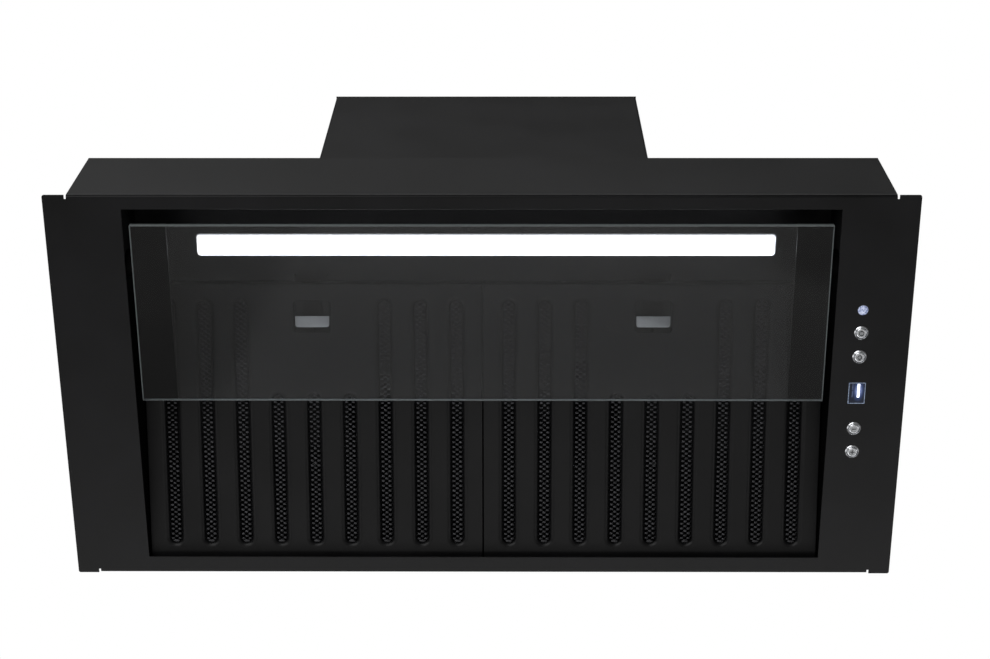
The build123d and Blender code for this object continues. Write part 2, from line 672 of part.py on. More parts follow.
def button(distance):
    y = back(distance)
    cap = rod_z(PANEL_X, y, BUTTON_R, 0, PLATE_TOP + TRAY_WALL + 0.2)
    cap = fillet(cap.edges().filter_by(GeomType.CIRCLE).sort_by(Axis.Z)[0], 0.5)
    z = PLATE_TOP + TRAY_WALL + 0.2
    flange = rod_z(PANEL_X, y, BEZEL_BARREL_R + 0.8, z, z + BUTTON_FLANGE)
    stem = rod_z(PANEL_X, y, STEM_R, z, up(CONTROL_BOARD_UP) - SWITCH_H - BUTTON_TRAVEL - 0.2)
    return cap + flange + stem


def tact_switches():
    z1, half = up(CONTROL_BOARD_UP), SWITCH_SIZE / 2
    return [block(PANEL_X - half, PANEL_X + half, back(d) - half, back(d) + half, z1 - SWITCH_H, z1)
            for d in button_backs()]


def display_window():
    play = 0.15
    x, y = DISPLAY_W / 2 - play, DISPLAY_L / 2 - play
    lens = block(PANEL_X - x, PANEL_X + x, back(DISPLAY_BACK) - y, back(DISPLAY_BACK) + y,
                 up(0), PLATE_TOP + TRAY_WALL)
    return lens


def ir_sensor():
    y = back(DISPLAY_BACK - SENSOR_FROM_DISPLAY)
    eye = rod_z(PANEL_X, y, SENSOR_R - 0.1, up(0) - BEZEL_LIP, up(CONTROL_BOARD_UP))
    return fillet(eye.edges().filter_by(GeomType.CIRCLE).sort_by(Axis.Z)[0], BEZEL_LIP * 0.9)


# ---- motor box

def foot_screw_places():
    x = BOX_W / 2 + BOX_FOOT * 0.55
    return [(side * x, BOX_MID + d) for side in (-1, 1) for d in (-BOX_D * 0.4, 0, BOX_D * 0.4)]


def foot_screw_holes(z0, z1):
    return sum((rod_z(x, y, SCREW_R, z0, z1) for x, y in foot_screw_places()), Part())


def motor_box_wrap():
    """Front and both sides from one folded sheet, with a foot along each side."""
    x, y0, y1 = BOX_W / 2, BOX_MID - BOX_D / 2, BOX_MID + BOX_D / 2
    section = bent_sheet([(-x, y1), (-x, y0), (x, y0), (x, y1)])
    wrap = Pos(0, 0, BODY_TOP) * extrude(section, BOX_H - SHEET)
    wrap += both(block(x - SHEET, x + BOX_FOOT, y0 + 4, y1, BODY_TOP, BODY_TOP + SHEET))
    return wrap - foot_screw_holes(BODY_TOP, BODY_TOP + SHEET) - lid_screw_holes()


def motor_box_back():
    x, y1 = BOX_W / 2 - SHEET, BOX_MID + BOX_D / 2
    section = bent_sheet([(x, y1 - LID_LIP), (x, y1), (-x, y1), (-x, y1 - LID_LIP)])
    return Pos(0, 0, BODY_TOP) * extrude(section, BOX_H - SHEET)


def lid_screw_places():
    z = BOX_TOP - LID_LIP * 0.6
    return [(side * BOX_W / 2, BOX_MID + d, z) for side in (-1, 1) for d in (-BOX_D / 3, BOX_D / 3)]


def lid_screw_holes():
    return sum((rod_x(y, z, SCREW_R, x - 3, x + 3) for x, y, z in lid_screw_places()), Part())


def motor_box_lid():
    x, y0, y1 = BOX_W / 2, BOX_MID - BOX_D / 2, BOX_MID + BOX_D / 2
    lid = block(-x, x, y0, y1, LID_UNDER, BOX_TOP)
    lip = block(x - 2 * SHEET, x - SHEET, y0 + LID_LIP, y1 - LID_LIP, BOX_TOP - LID_LIP, LID_UNDER)
    lid += both(lip)
    inner = SCROLL_WALL
    lid -= block(-SCROLL_W / 2 + inner, SCROLL_W / 2 - inner, BOX_MID - OUTLET_W / 2 + inner,
                 BOX_MID + OUTLET_W / 2 - inner, LID_UNDER, BOX_TOP)
    gland_x, gland_y = gland_place()
    lid -= rod_z(gland_x, gland_y, GLAND_R * 0.6, LID_UNDER, BOX_TOP)
    for px, py in outlet_screw_places():
        lid -= rod_z(px, py, SCREW_R, LID_UNDER, BOX_TOP)
    return lid - lid_screw_holes()


def gland_place():
    return BOX_W / 2 - GLAND_FROM_SIDE, BOX_MID + BOX_D / 2 - GLAND_FROM_BACK


# ---- blower

def scroll_outline(inset):
    """Spiral case and outlet in (Y, Z): quarter arcs whose radius grows, then straight up."""
    r1, step = SCROLL_R - inset, SCROLL_STEP
    r2, r3 = r1 + step, r1 + 2 * step
    top = LID_UNDER - WHEEL_Z
    centre = {1: (0, 0), 2: (-step, 0), 3: (-step, step)}
    arcs = [CenterArc(centre[1], r1, 90, -90), CenterArc(centre[2], r2, 0, -90),
            CenterArc(centre[3], r3, -90, -90)]
    front = centre[3][0] - r3
    inner = front + OUTLET_W - 2 * inset
    sides = [Polyline((front, step), (front, top), (inner, top), (inner, r1), (0, r1))]
    outline = make_face(arcs + sides)
    corner = outline.vertices().sort_by_distance(Vector(inner, r1))[0]
    outline = fillet(corner, TONGUE_R + inset)
    return Pos(WHEEL_Y, WHEEL_Z) * outline


def outlet_screw_places():
    x, y = SCROLL_W / 2 + SCROLL_FLANGE * 0.5, OUTLET_W / 3
    return [(sx * x, BOX_MID + sy * y) for sx in (-1, 1) for sy in (-1, 1)]


def scroll_half():
    """Right half of the scroll case, from the middle seam to its inlet side."""
    half = SCROLL_W / 2
    case = along_x(scroll_outline(0), 0, half)
    case -= along_x(scroll_outline(SCROLL_WALL), 0, half - SCROLL_WALL)
    case -= rod_x(WHEEL_Y, WHEEL_Z, INLET_R, half - 2 * SCROLL_WALL, half)
    lip = rod_x(WHEEL_Y, WHEEL_Z, INLET_R + SCROLL_WALL, half - 5, half)
    case += lip - rod_x(WHEEL_Y, WHEEL_Z, INLET_R, half - 5, half)
    case += block(half, half + SCROLL_FLANGE, BOX_MID - OUTLET_W / 2, BOX_MID + OUTLET_W / 2,
                  LID_UNDER - SCROLL_WALL, LID_UNDER)
    for x, y in outlet_screw_places():
        case -= rod_z(x, y, SCREW_R, LID_UNDER - SCROLL_WALL, LID_UNDER)
    return case


def impeller():
    half = WHEEL_W / 2
    wheel = rod_x(WHEEL_Y, WHEEL_Z, WHEEL_R, -WHEEL_DISC / 2, WHEEL_DISC / 2)
    ring = rod_x(WHEEL_Y, WHEEL_Z, WHEEL_R, half - RING_T, half)
    wheel += both(ring - rod_x(WHEEL_Y, WHEEL_Z, WHEEL_R - BLADE_L, half - RING_T, half))
    blade = block(1 - half, half - 1, WHEEL_R - BLADE_L - 0.5, WHEEL_R - 0.5, -BLADE_T / 2, BLADE_T / 2)
    for i in range(BLADE_N):
        wheel += Pos(0, WHEEL_Y, WHEEL_Z) * Rot(i * 360 / BLADE_N, 0, 0) * blade
    wheel += rod_x(WHEEL_Y, WHEEL_Z, SHAFT_R + 4, -half / 4, MOTOR_GAP - 1.5)
    return wheel - rod_x(WHEEL_Y, WHEEL_Z, SHAFT_R, -half, half)


def motor_ends():
    return MOTOR_GAP, MOTOR_GAP + MOTOR_L


def fan_motor():
    x0, x1 = motor_ends()
    motor = rod_x(WHEEL_Y, WHEEL_Z, MOTOR_R, x0, x1)
    motor = fillet(motor.edges().filter_by(GeomType.CIRCLE), 3)
    motor -= rod_x(WHEEL_Y, WHEEL_Z, SHAFT_R + 1, x0, x1)
    for a, b in ((x0, x0 + BEARING_W), (x1 - BEARING_W, x1)):
        motor -= rod_x(WHEEL_Y, WHEEL_Z, BEARING_R, a, b)
    return motor


def motor_bearings():
    x0, x1 = motor_ends()
    bore = rod_x(WHEEL_Y, WHEEL_Z, SHAFT_R + RUN_GAP, x0, x1)
    return [rod_x(WHEEL_Y, WHEEL_Z, BEARING_R, a, b) - bore
            for a, b in ((x0, x0 + BEARING_W), (x1 - BEARING_W, x1))]


def motor_shaft():
    return rod_x(WHEEL_Y, WHEEL_Z, SHAFT_R, -WHEEL_W / 8, motor_ends()[1] - 0.5)


def rubber_places():
    radius = INLET_R + RUBBER_R + 3
    return [(WHEEL_Y + radius * math.cos(math.radians(a)), WHEEL_Z + radius * math.sin(math.radians(a)))
            for a in (150, 270, 30)]


def motor_bracket():
    """Spider across the right inlet that carries the motor on three rubber mounts."""
    x0, x1 = SCROLL_W / 2 + RUBBER_R, SCROLL_W / 2 + RUBBER_R + BRACKET_T
    hub = rod_x(WHEEL_Y, WHEEL_Z, BEARING_R + 6, x0, x1)
    hub += rod_x(WHEEL_Y, WHEEL_Z, BEARING_R + 4, motor_ends()[1], x0)
    reach = INLET_R + RUBBER_R + 3 + RUBBER_R
    arm = block(x0, x1, 0, reach, -BRACKET_ARM / 2, BRACKET_ARM / 2)
    for angle in (150, 270, 30):
        hub += Pos(0, WHEEL_Y, WHEEL_Z) * Rot(angle, 0, 0) * arm
    return hub


def rubber_mounts():
    x0, x1 = SCROLL_W / 2, SCROLL_W / 2 + RUBBER_R
    return [rod_x(y, z, RUBBER_R, x0, x1) for y, z in rubber_places()]


def capacitor():
    x, y = -BOX_W / 2 + SHEET + CAPACITOR_R + 6, BOX_MID + BOX_D / 2 - SHEET - CAPACITOR_R
    can = rod_z(x, y, CAPACITOR_R, BODY_TOP + SHEET + 30, BODY_TOP + SHEET + 30 + CAPACITOR_L)
    return fillet(can.edges().filter_by(GeomType.CIRCLE), 2)


def terminal_box():
    x1, y1 = BOX_W / 2 - SHEET - 4, BOX_MID + BOX_D / 2 - SHEET
    z0 = BOX_TOP - SHEET - TERMINAL_H - 30
    box = block(x1 - TERMINAL_W, x1, y1 - TERMINAL_D, y1, z0, z0 + TERMINAL_H)
    return round_corners(box, 2)


# ---- outlet

def outlet_collar():
    """Flanged collar for the duct, with a seat that the two flaps close on."""
    z0 = BOX_TOP
    side = COLLAR_R + COLLAR_FLANGE
    base = round_corners(block(-side, side, BOX_MID - side, BOX_MID + side, z0, z0 + COLLAR_WALL), 12)
    tube = rod_z(0, BOX_MID, COLLAR_R, z0, z0 + COLLAR_H)
    bore = COLLAR_BORE
    collar = base + tube - rod_z(0, BOX_MID, bore, z0, z0 + COLLAR_H)
    seat_top = z0 + FLAP_UP - FLAP_T / 2 - 0.3
    seat = rod_z(0, BOX_MID, bore, seat_top - COLLAR_WALL, seat_top)
    seat -= rod_z(0, BOX_MID, bore - SEAT_W, seat_top - COLLAR_WALL, seat_top)
    seat -= block(-COLLAR_R, COLLAR_R, BOX_MID - KNUCKLE_R - 0.6, BOX_MID + KNUCKLE_R + 0.6,
                  seat_top - COLLAR_WALL, seat_top)
    collar += seat
    for x, y in outlet_screw_places():
        collar -= rod_z(x, y, SCREW_HEAD_R + 0.4, z0, z0 + SCREW_HEAD_H + 0.4)
    return collar - rod_x(BOX_MID, z0 + FLAP_UP, FLAP_PIN_R, -COLLAR_R, COLLAR_R)


def damper_pin():
    return rod_x(BOX_MID, BOX_TOP + FLAP_UP, FLAP_PIN_R, -COLLAR_R + 0.2, COLLAR_R - 0.2)


def damper_flap(direction):
    """Half-round flap; direction is +1 for the rear flap and -1 for the front one."""
    z = BOX_TOP + FLAP_UP
    radius = COLLAR_BORE - FLAP_GAP
    plate = rod_z(0, BOX_MID, radius, z - FLAP_T / 2, z + FLAP_T / 2)
    near = KNUCKLE_R + 0.6
    keep = block(-COLLAR_R, COLLAR_R, BOX_MID + direction * near, BOX_MID + direction * COLLAR_R, z - 5, z + 5)
    plate = plate & keep
    for x0 in ((-2 * KNUCKLE_L, 0) if direction > 0 else (-KNUCKLE_L, KNUCKLE_L)):
        a, b = x0 + 0.4, x0 + KNUCKLE_L - 0.4
        plate += rod_x(BOX_MID, z, KNUCKLE_R, a, b)
        plate += block(a, b, BOX_MID, BOX_MID + direction * (near + 0.5), z - FLAP_T / 2, z + FLAP_T / 2)
    return plate - rod_x(BOX_MID, z, FLAP_PIN_R + RUN_GAP, -COLLAR_R, COLLAR_R)


def cable_gland():
    x, y = gland_place()
    hexagon = extrude(Pos(x, y, BOX_TOP) * RegularPolygon(GLAND_R, 6), GLAND_H)
    gland = hexagon + rod_z(x, y, GLAND_R * 0.7, BOX_TOP + GLAND_H, BOX_TOP + GLAND_H + 5)
    gland += rod_z(x, y, GLAND_R * 0.6, LID_UNDER, BOX_TOP)
    gland += rod_z(x, y, GLAND_R * 0.9, LID_UNDER - 4, LID_UNDER)
    return gland - rod_z(x, y, GLAND_BORE, LID_UNDER - 5, BOX_TOP + GLAND_H + 6)


# ---- screws

def all_screws():
    """The same screw holds the top panel, the motor box's feet and lid, and the blower's flange."""
    body = [screw(x, y, BODY_TOP) for x, y in body_screw_places()]
    feet = [screw(x, y, BODY_TOP + SHEET) for x, y in foot_screw_places()]
    lid = [screw(x, y, z, (0, 90 if x > 0 else -90, 0)) for x, y, z in lid_screw_places()]
    blower = [screw(x, y, LID_UNDER - SCROLL_WALL, (180, 0, 0)) for x, y in outlet_screw_places()]
    return body + feet + lid + blower


def build_body():
    write("bottom_frame", bottom_frame())
    for node, piece in (("side_wall", side_wall()), ("well_side", well_side())):
        write(f"{node}_right", piece)
        write(f"{node}_left", mirror(piece, Plane.YZ))
    write("top_panel", top_panel())
    write("filter_rail", filter_rail())


def build_lamp():
    write("lamp_panel", lamp_panel())
    write("led_diffuser", led_diffuser())
    write("lamp_housing", lamp_housing())
    write("led_board", led_board())
    write("led_driver", led_driver())


def build_visor():
    write("visor_glass", visor_glass())
    write("visor_bracket_right", visor_bracket())
    write("visor_bracket_left", mirror(visor_bracket(), Plane.YZ))
    write("visor_pivots", both(visor_pivot()))
    write("visor_bushes", both(visor_bush()))


def build_filters():
    for side, name in ((-1, "left"), (1, "right")):
        place = filter_place(side)
        write(f"filter_face_{name}", place * filter_face())
        write(f"filter_frame_{name}", place * filter_frame() + filter_hinge(side))
        write(f"filter_mesh_{name}", place * filter_mesh())
        write(f"latch_cup_{name}", place * latch_cup())
        write(f"latch_lever_{name}", place * latch_lever())
        write(f"latch_spring_{name}", place * latch_spring())
        write(f"catch_leaf_{name}", catch_leaf(side))


def build_controls():
    write("control_tray", control_tray())
    write("control_board", control_board())
    write("tact_switches", *tact_switches())
    write("button_bezels", *[button_bezel(d) for d in button_backs()])
    for name, distance in zip(("power", "light", "minus", "plus"), button_backs()):
        write(f"button_{name}", button(distance))
    write("display_window", display_window())
    write("ir_sensor", ir_sensor())


def build_motor_box():
    write("motor_box_wrap", motor_box_wrap())
    write("motor_box_back", motor_box_back())
    write("motor_box_lid", motor_box_lid())
    write("case_screws", *all_screws())
    write("capacitor", capacitor())
    write("terminal_box", terminal_box())
    write("cable_gland", cable_gland())


def build_blower():
    write("scroll_right", scroll_half())
    write("scroll_left", mirror(scroll_half(), Plane.YZ))
    write("impeller", impeller())
    write("fan_motor", fan_motor())
    write("motor_bearings", *motor_bearings())
    write("motor_shaft", motor_shaft())
    write("motor_bracket", motor_bracket())
    write("rubber_mounts", *rubber_mounts())


def build_outlet():
    write("outlet_collar", outlet_collar())
    write("damper_pin", damper_pin())
    write("damper_flap_rear", damper_flap(1))
    write("damper_flap_front", damper_flap(-1))


build_body()
build_lamp()
build_visor()
build_filters()
build_controls()
build_motor_box()
build_blower()
build_outlet()
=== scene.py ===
# %% [markdown]
# # A hood that closes the underside of a kitchen cabinet
#
# The real hood is a folded steel tray. Two grease filters and a lamp fill its mouth, a smoked
# glass visor covers the front half, and a motor box stands on top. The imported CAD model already
# has every piece in its true place, so it is loaded first. The pieces whose look depends on soft
# pressings, thin edges or fine mesh are modelled again here, and the others only get a finish.

import json
import math

import bmesh
import bpy
from mathutils import Matrix, Vector


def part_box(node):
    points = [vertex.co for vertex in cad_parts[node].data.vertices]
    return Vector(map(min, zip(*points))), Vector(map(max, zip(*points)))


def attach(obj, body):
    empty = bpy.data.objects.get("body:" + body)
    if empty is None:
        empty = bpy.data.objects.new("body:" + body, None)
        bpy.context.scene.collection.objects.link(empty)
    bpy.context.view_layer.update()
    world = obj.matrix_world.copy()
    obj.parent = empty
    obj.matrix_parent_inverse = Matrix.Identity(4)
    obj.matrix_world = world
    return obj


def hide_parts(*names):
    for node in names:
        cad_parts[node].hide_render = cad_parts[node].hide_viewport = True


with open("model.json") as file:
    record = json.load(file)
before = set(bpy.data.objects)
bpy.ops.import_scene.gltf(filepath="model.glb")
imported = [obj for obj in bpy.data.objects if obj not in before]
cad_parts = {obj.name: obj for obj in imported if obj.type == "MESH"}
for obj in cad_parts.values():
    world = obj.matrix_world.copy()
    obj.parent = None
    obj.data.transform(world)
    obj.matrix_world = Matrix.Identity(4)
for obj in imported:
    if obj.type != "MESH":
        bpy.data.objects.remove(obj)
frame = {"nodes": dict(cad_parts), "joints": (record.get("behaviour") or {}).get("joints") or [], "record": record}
NODES, RECORD = frame["nodes"], frame["record"]
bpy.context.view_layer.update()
MM = 0.001

# %% [markdown]
# ## The camera
#
# The hood hangs over a hob, so it is looked at from below and from the cook's side. The camera
# stands under the front edge and looks steeply upward. A long lens keeps the plate's sides
# almost parallel. Its place and its turn are written down as they are, in metres and degrees.

# %% Camera under the front edge
camera_data = bpy.data.cameras.new("cook_view")
camera_data.lens = 70.85
camera_data.sensor_width = 36.0
camera_data.clip_end = 60.0
camera = bpy.data.objects.new("cook_view", camera_data)
camera.location = (0.0196, -0.5890, -1.2480)
camera.rotation_euler = [math.radians(turn) for turn in (156.590, -0.416, 0.142)]
bpy.context.scene.collection.objects.link(camera)
bpy.context.scene.camera = camera
print("camera to the plate's middle:", round(camera.location.length, 3), "m")

# %% [markdown]
# ## Colours and nodes
#
# Colours are written as the hex values that a paint chart or a browser shows. Shaders work in
# linear light, so one function turns them over. A second function adds any node at all, with its
# settings and its links, which keeps each finish below as short as its description.

# %% Helpers for finishes


def linear(hex_code):
    """A colour such as #202124 as the linear red, green, blue and alpha that a shader needs."""
    channels = [int(hex_code[i:i + 2], 16) / 255 for i in (1, 3, 5)]
    return [c / 12.92 if c <= 0.04045 else ((c + 0.055) / 1.055) ** 2.4 for c in channels] + [1.0]


def add_node(material, kind, settings=None, stops=None, **inputs):
    """Adds a node. An input is given a value, or the output that it is linked to."""
    node = material.node_tree.nodes.new("ShaderNode" + kind)
    for name, value in (settings or {}).items():
        setattr(node, name, value)
    for i, (position, hex_code) in enumerate(stops or []):
        ramp = node.color_ramp.elements
        stop = ramp[i] if i < len(ramp) else ramp.new(position)
        stop.position, stop.color = position, linear(hex_code)
    for name, value in inputs.items():
        socket = node.inputs[int(name[1:]) if name[1:].isdigit() else name.replace("_", " ")]
        if isinstance(value, bpy.types.NodeSocket):
            material.node_tree.links.new(value, socket)
        else:
            socket.default_value = value
    return node


def new_finish(name, colour, metallic, roughness):
    """A material with one shader, and the output that gives each point's place on its piece."""
    material = bpy.data.materials.new(name)
    material.use_nodes = True
    shader = material.node_tree.nodes["Principled BSDF"]
    shader.inputs["Base Color"].default_value = linear(colour)
    shader.inputs["Metallic"].default_value = metallic
    shader.inputs["Roughness"].default_value = roughness
    material.diffuse_color = linear(colour)
    place = add_node(material, "TexCoord").outputs["Object"]
    return material, shader, place


def connect(material, output, shader, name):
    material.node_tree.links.new(output, shader.inputs[name])


print("white stays white:", linear("#ffffff"))

# %% [markdown]
# ## The studio
#
# The hood hangs in a plain studio. A pale floor lies far below it, soft boxes stand in front and
# behind, a wide one shines down from above, and four close ones light only its top, back and
# ends. The hood is black all over, so what one sees of it is mostly the reflection of those
# lights. The low front box draws the chrome's crescents and the edges that face the cook, the
# rear one makes the plate lighter towards the wall, and the two at the sides edge the channels.
# A card lying on the floor is what the glass mirrors, and a nearer one is what the finger levers
# mirror. The world and the floor are bright where they are seen and dim where they light the
# hood, which keeps the black paint black on a white page.

# %% Floor, world and soft boxes


def use_surface(material, shader_output):
    """Makes a material show this shader instead of the plain Principled one."""
    output = material.node_tree.nodes["Material Output"]
    material.node_tree.links.new(shader_output, output.inputs["Surface"])


def studio_floor(height, half_size=15.0, glow=0.75):
    bm = bmesh.new()
    bmesh.ops.create_grid(bm, x_segments=1, y_segments=1, size=half_size)
    bmesh.ops.translate(bm, verts=bm.verts, vec=(0, 0, height))
    mesh = bpy.data.meshes.new("studio_floor")
    bm.to_mesh(mesh)
    bm.free()
    floor = bpy.data.objects.new("studio_floor", mesh)
    bpy.context.scene.collection.objects.link(floor)
    paint, shader, place = new_finish("pale_studio_floor", "#e9e8e5", 0.0, 0.8)
    cloud = add_node(paint, "TexNoise", Vector=place, Scale=0.6)
    tone = add_node(paint, "ValToRGB", stops=[(0.3, "#e6e5e2"), (0.7, "#ecebe8")],
                    Fac=cloud.outputs["Fac"])
    connect(paint, tone.outputs["Color"], shader, "Base Color")
    page = add_node(paint, "Emission", Color=linear("#e2e1de"), Strength=glow)
    lit = add_node(paint, "AddShader", i0=page.outputs["Emission"], i1=shader.outputs["BSDF"])
    ray = add_node(paint, "LightPath")
    both = add_node(paint, "MixShader", Fac=ray.outputs["Is Camera Ray"], i1=shader.outputs["BSDF"],
                    i2=lit.outputs["Shader"])
    use_surface(paint, both.outputs["Shader"])
    mesh.materials.append(paint)


def soft_box(name, place, aim, width, height, radiance, turn=0):
    """Area light whose face is as bright as radiance, which a camera never sees itself."""
    light = bpy.data.lights.new(name, "AREA")
    light.shape = "RECTANGLE"
    light.size, light.size_y = width, height
    light.energy = radiance * math.pi * width * height
    lamp = bpy.data.objects.new(name, light)
    lamp.location = place
    lamp.rotation_euler = (Vector(aim) - Vector(place)).to_track_quat("-Z", "Y").to_euler()
    lamp.rotation_euler.z += math.radians(turn)
    lamp.visible_camera = False
    bpy.context.scene.collection.objects.link(lamp)


def studio_world(dim):
    world = bpy.data.worlds.new("studio_world")
    world.use_nodes = True
    nodes, links = world.node_tree.nodes, world.node_tree.links
    nodes["Background"].inputs["Color"].default_value = (1, 1, 1, 1)
    nodes["Background"].inputs["Strength"].default_value = dim
    page = nodes.new("ShaderNodeBackground")
    page.inputs["Color"].default_value = (1, 1, 1, 1)
    page.inputs["Strength"].default_value = 1.0
    seen = nodes.new("ShaderNodeLightPath")
    mix = nodes.new("ShaderNodeMixShader")
    links.new(seen.outputs["Is Camera Ray"], mix.inputs["Fac"])
    links.new(nodes["Background"].outputs["Background"], mix.inputs[1])
    links.new(page.outputs["Background"], mix.inputs[2])
    links.new(mix.outputs["Shader"], nodes["World Output"].inputs["Surface"])
    bpy.context.scene.world = world


FLOOR = -2.7
studio_floor(FLOOR)
studio_world(0.04)
soft_box("front_low_box", (-1.3, -2.2, -1.9), (0.1, 0, 0), 2.8, 2.2, 2.2)
soft_box("upper_front_box", (-0.4, -2.6, 2.6), (0, 0, 0), 3.6, 2.0, 1.5)
soft_box("rear_low_box", (0.0, 1.9, -2.05), (0, 0.1, 0), 3.2, 1.1, 2.0)
soft_box("left_low_box", (-2.3, 0.6, -1.7), (0, 0, 0), 1.4, 1.4, 0.8)
soft_box("right_low_box", (2.3, 0.6, -1.7), (0, 0, 0), 1.4, 1.4, 0.8)
soft_box("near_lying_card", (0.0, 0.3, FLOOR + 0.01), (0.0, 0.3, 0), 1.2, 0.5, 0.85)
soft_box("lying_card", (0.20, 1.28, FLOOR + 0.02), (0.20, 1.28, 0), 1.5, 0.9, 0.12, turn=24)
soft_box("close_top_box", (0.0, 0.5, 1.4), (0, 0.1, 0.3), 1.4, 1.0, 1.0)
soft_box("close_back_box", (0.3, 1.7, 0.7), (0, 0, 0.15), 1.6, 1.0, 1.0)
soft_box("close_left_box", (-1.7, 0.2, 0.6), (0, 0, 0.15), 1.2, 1.0, 1.0)
soft_box("close_right_box", (1.7, 0.2, 0.6), (0, 0, 0.15), 1.2, 1.0, 1.0)
soft_box("top_box", (0.0, 2.6, 3.4), (0, 0.6, FLOOR), 5.0, 4.0, 0.2)
bpy.context.scene.view_settings.view_transform = "Standard"

# %% [markdown]
# ## Black paint
#
# The steel is powder coated in fine-texture black. The powder melts into tiny rounded grains, so
# the paint has a satin sheen with a faint sparkle and no sharp reflection. A noise about as fine
# as the grains gives the bump, and a wide slow one shifts colour and gloss a little, as a large
# painted sheet shows. Real grains are 0.2 mm wide, and they are drawn at about 0.9 mm here,
# because smaller ones don't show from a metre away. The walls inside the mouth get a near-black
# with almost no gloss, darker than the body's paint. This is painted shade, so that the gaps
# beside the filters stay dark.

# %% Powder coat for the body and the filters, and a painted shade black for the mouth


def powder_coat(name, dark, light, gloss, grain, depth, mirror):
    material, shader, place = new_finish(name, dark, 0.0, gloss)
    cloud = add_node(material, "TexNoise", Vector=place, Scale=1 / (60 * MM), Detail=3.0)
    tone = add_node(material, "ValToRGB", stops=[(0.35, dark), (0.7, light)], Fac=cloud.outputs["Fac"])
    connect(material, tone.outputs["Color"], shader, "Base Color")
    satin = add_node(material, "MapRange", Value=cloud.outputs["Fac"], i3=gloss - 0.04, i4=gloss + 0.05)
    connect(material, satin.outputs["Result"], shader, "Roughness")
    grit = add_node(material, "TexNoise", Vector=place, Scale=1 / grain, Detail=2.0, Roughness=0.6)
    bump = add_node(material, "Bump", Height=grit.outputs["Fac"], Distance=depth, Strength=0.6)
    connect(material, bump.outputs["Normal"], shader, "Normal")
    shader.inputs["Specular IOR Level"].default_value = mirror
    return material


GRAIN = 0.9 * MM
BODY_PAINT = powder_coat("fine_texture_black_powder_coat", "#0c0c0d", "#131315", 0.36, GRAIN, 0.05 * MM, 0.2)
FILTER_PAINT = powder_coat("satin_black_filter_paint", "#0d0d0e", "#141415", 0.38, GRAIN, 0.04 * MM, 0.25)
# Painted shade: near-black and almost without gloss, for parts in the mouth where shade falls.
PAINTED_SHADE_BLACK = powder_coat("painted_shade_matt_black", "#020202", "#050505", 0.7, GRAIN, 0.05 * MM, 0.03)
print("paints:", BODY_PAINT.name, FILTER_PAINT.name, PAINTED_SHADE_BLACK.name)

# %% [markdown]
# ## Metals
#
# Few bare metals show. The finger levers are brushed zinc-plated steel, the rings round the
# buttons are chrome, and screws and brackets inside are plain zinc plate, a little mottled. The
# catch springs are blackened steel and hardly show at all. The mesh in the filters is aluminium
# with a thin coat of black, and its bonds get a lighter copy of that colour, a painted highlight
# for the light they catch. Brushing is a noise stretched along one direction. A metal keeps the
# shader's own IOR, and its colour does the rest.

# %% Zinc, chrome, spring steel and grease mesh


def brushed_zinc():
    material, shader, place = new_finish("brushed_zinc_plated_steel", "#d6d8da", 1.0, 0.38)
    across = 1 / (0.25 * MM)
    along_x = add_node(material, "Mapping", Vector=place, Scale=(1 / (18 * MM), across, across))
    lines = add_node(material, "TexNoise", Vector=along_x.outputs["Vector"], Scale=1.0, Detail=3.0)
    rough = add_node(material, "MapRange", Value=lines.outputs["Fac"], i3=0.3, i4=0.5)
    connect(material, rough.outputs["Result"], shader, "Roughness")
    tone = add_node(material, "ValToRGB", stops=[(0.3, "#cccecf"), (0.7, "#e2e4e6")],
                    Fac=lines.outputs["Fac"])
    connect(material, tone.outputs["Color"], shader, "Base Color")
    return material


def plain_zinc(name, dark, light, gloss):
    """Zinc plate, with the cloudy spangle about 4 mm wide that plating leaves on sheet steel."""
    material, shader, place = new_finish(name, light, 1.0, gloss)
    spangle = add_node(material, "TexVoronoi", Vector=place, Scale=1 / (4 * MM))
    tone = add_node(material, "ValToRGB", stops=[(0.2, dark), (0.8, light)], Fac=spangle.outputs["Distance"])
    connect(material, tone.outputs["Color"], shader, "Base Color")
    rough = add_node(material, "MapRange", Value=spangle.outputs["Distance"],
                     i3=gloss - 0.06, i4=gloss + 0.08)
    connect(material, rough.outputs["Result"], shader, "Roughness")
    return material


def chrome():
    material, shader, place = new_finish("polished_chrome", "#e6e8ec", 1.0, 0.2)
    haze = add_node(material, "TexNoise", Vector=place, Scale=1 / (1.5 * MM), Detail=2.0)
    rough = add_node(material, "MapRange", Value=haze.outputs["Fac"], i3=0.14, i4=0.26)
    connect(material, rough.outputs["Result"], shader, "Roughness")
    return material


def grease_mesh_finish(name, dark, light):
    material, shader, place = new_finish(name, dark, 0.6, 0.4)
    wear = add_node(material, "TexNoise", Vector=place, Scale=1 / (3 * MM), Detail=2.0)
    tone = add_node(material, "ValToRGB", stops=[(0.3, dark), (0.75, light)], Fac=wear.outputs["Fac"])
    connect(material, tone.outputs["Color"], shader, "Base Color")
    return material


LEVER_ZINC = brushed_zinc()
ZINC = plain_zinc("bright_zinc_plate", "#8f9294", "#b9bcbe", 0.35)
SPRING = plain_zinc("black_oxide_spring_steel", "#0b0b0c", "#151517", 0.45)
CHROME = chrome()
MESH_METAL = grease_mesh_finish("black_coated_aluminium_mesh", "#1b1b1d", "#2a2a2d")
# Painted highlight: a lighter copy of the mesh's colour for its bonds and turned-up edges.
BOND_HIGHLIGHT_METAL = grease_mesh_finish("aluminium_mesh_bonds_painted_highlight", "#2f2f31", "#49494c")
print("metals:", [m.name for m in (LEVER_ZINC, ZINC, SPRING, CHROME, MESH_METAL, BOND_HIGHLIGHT_METAL)])

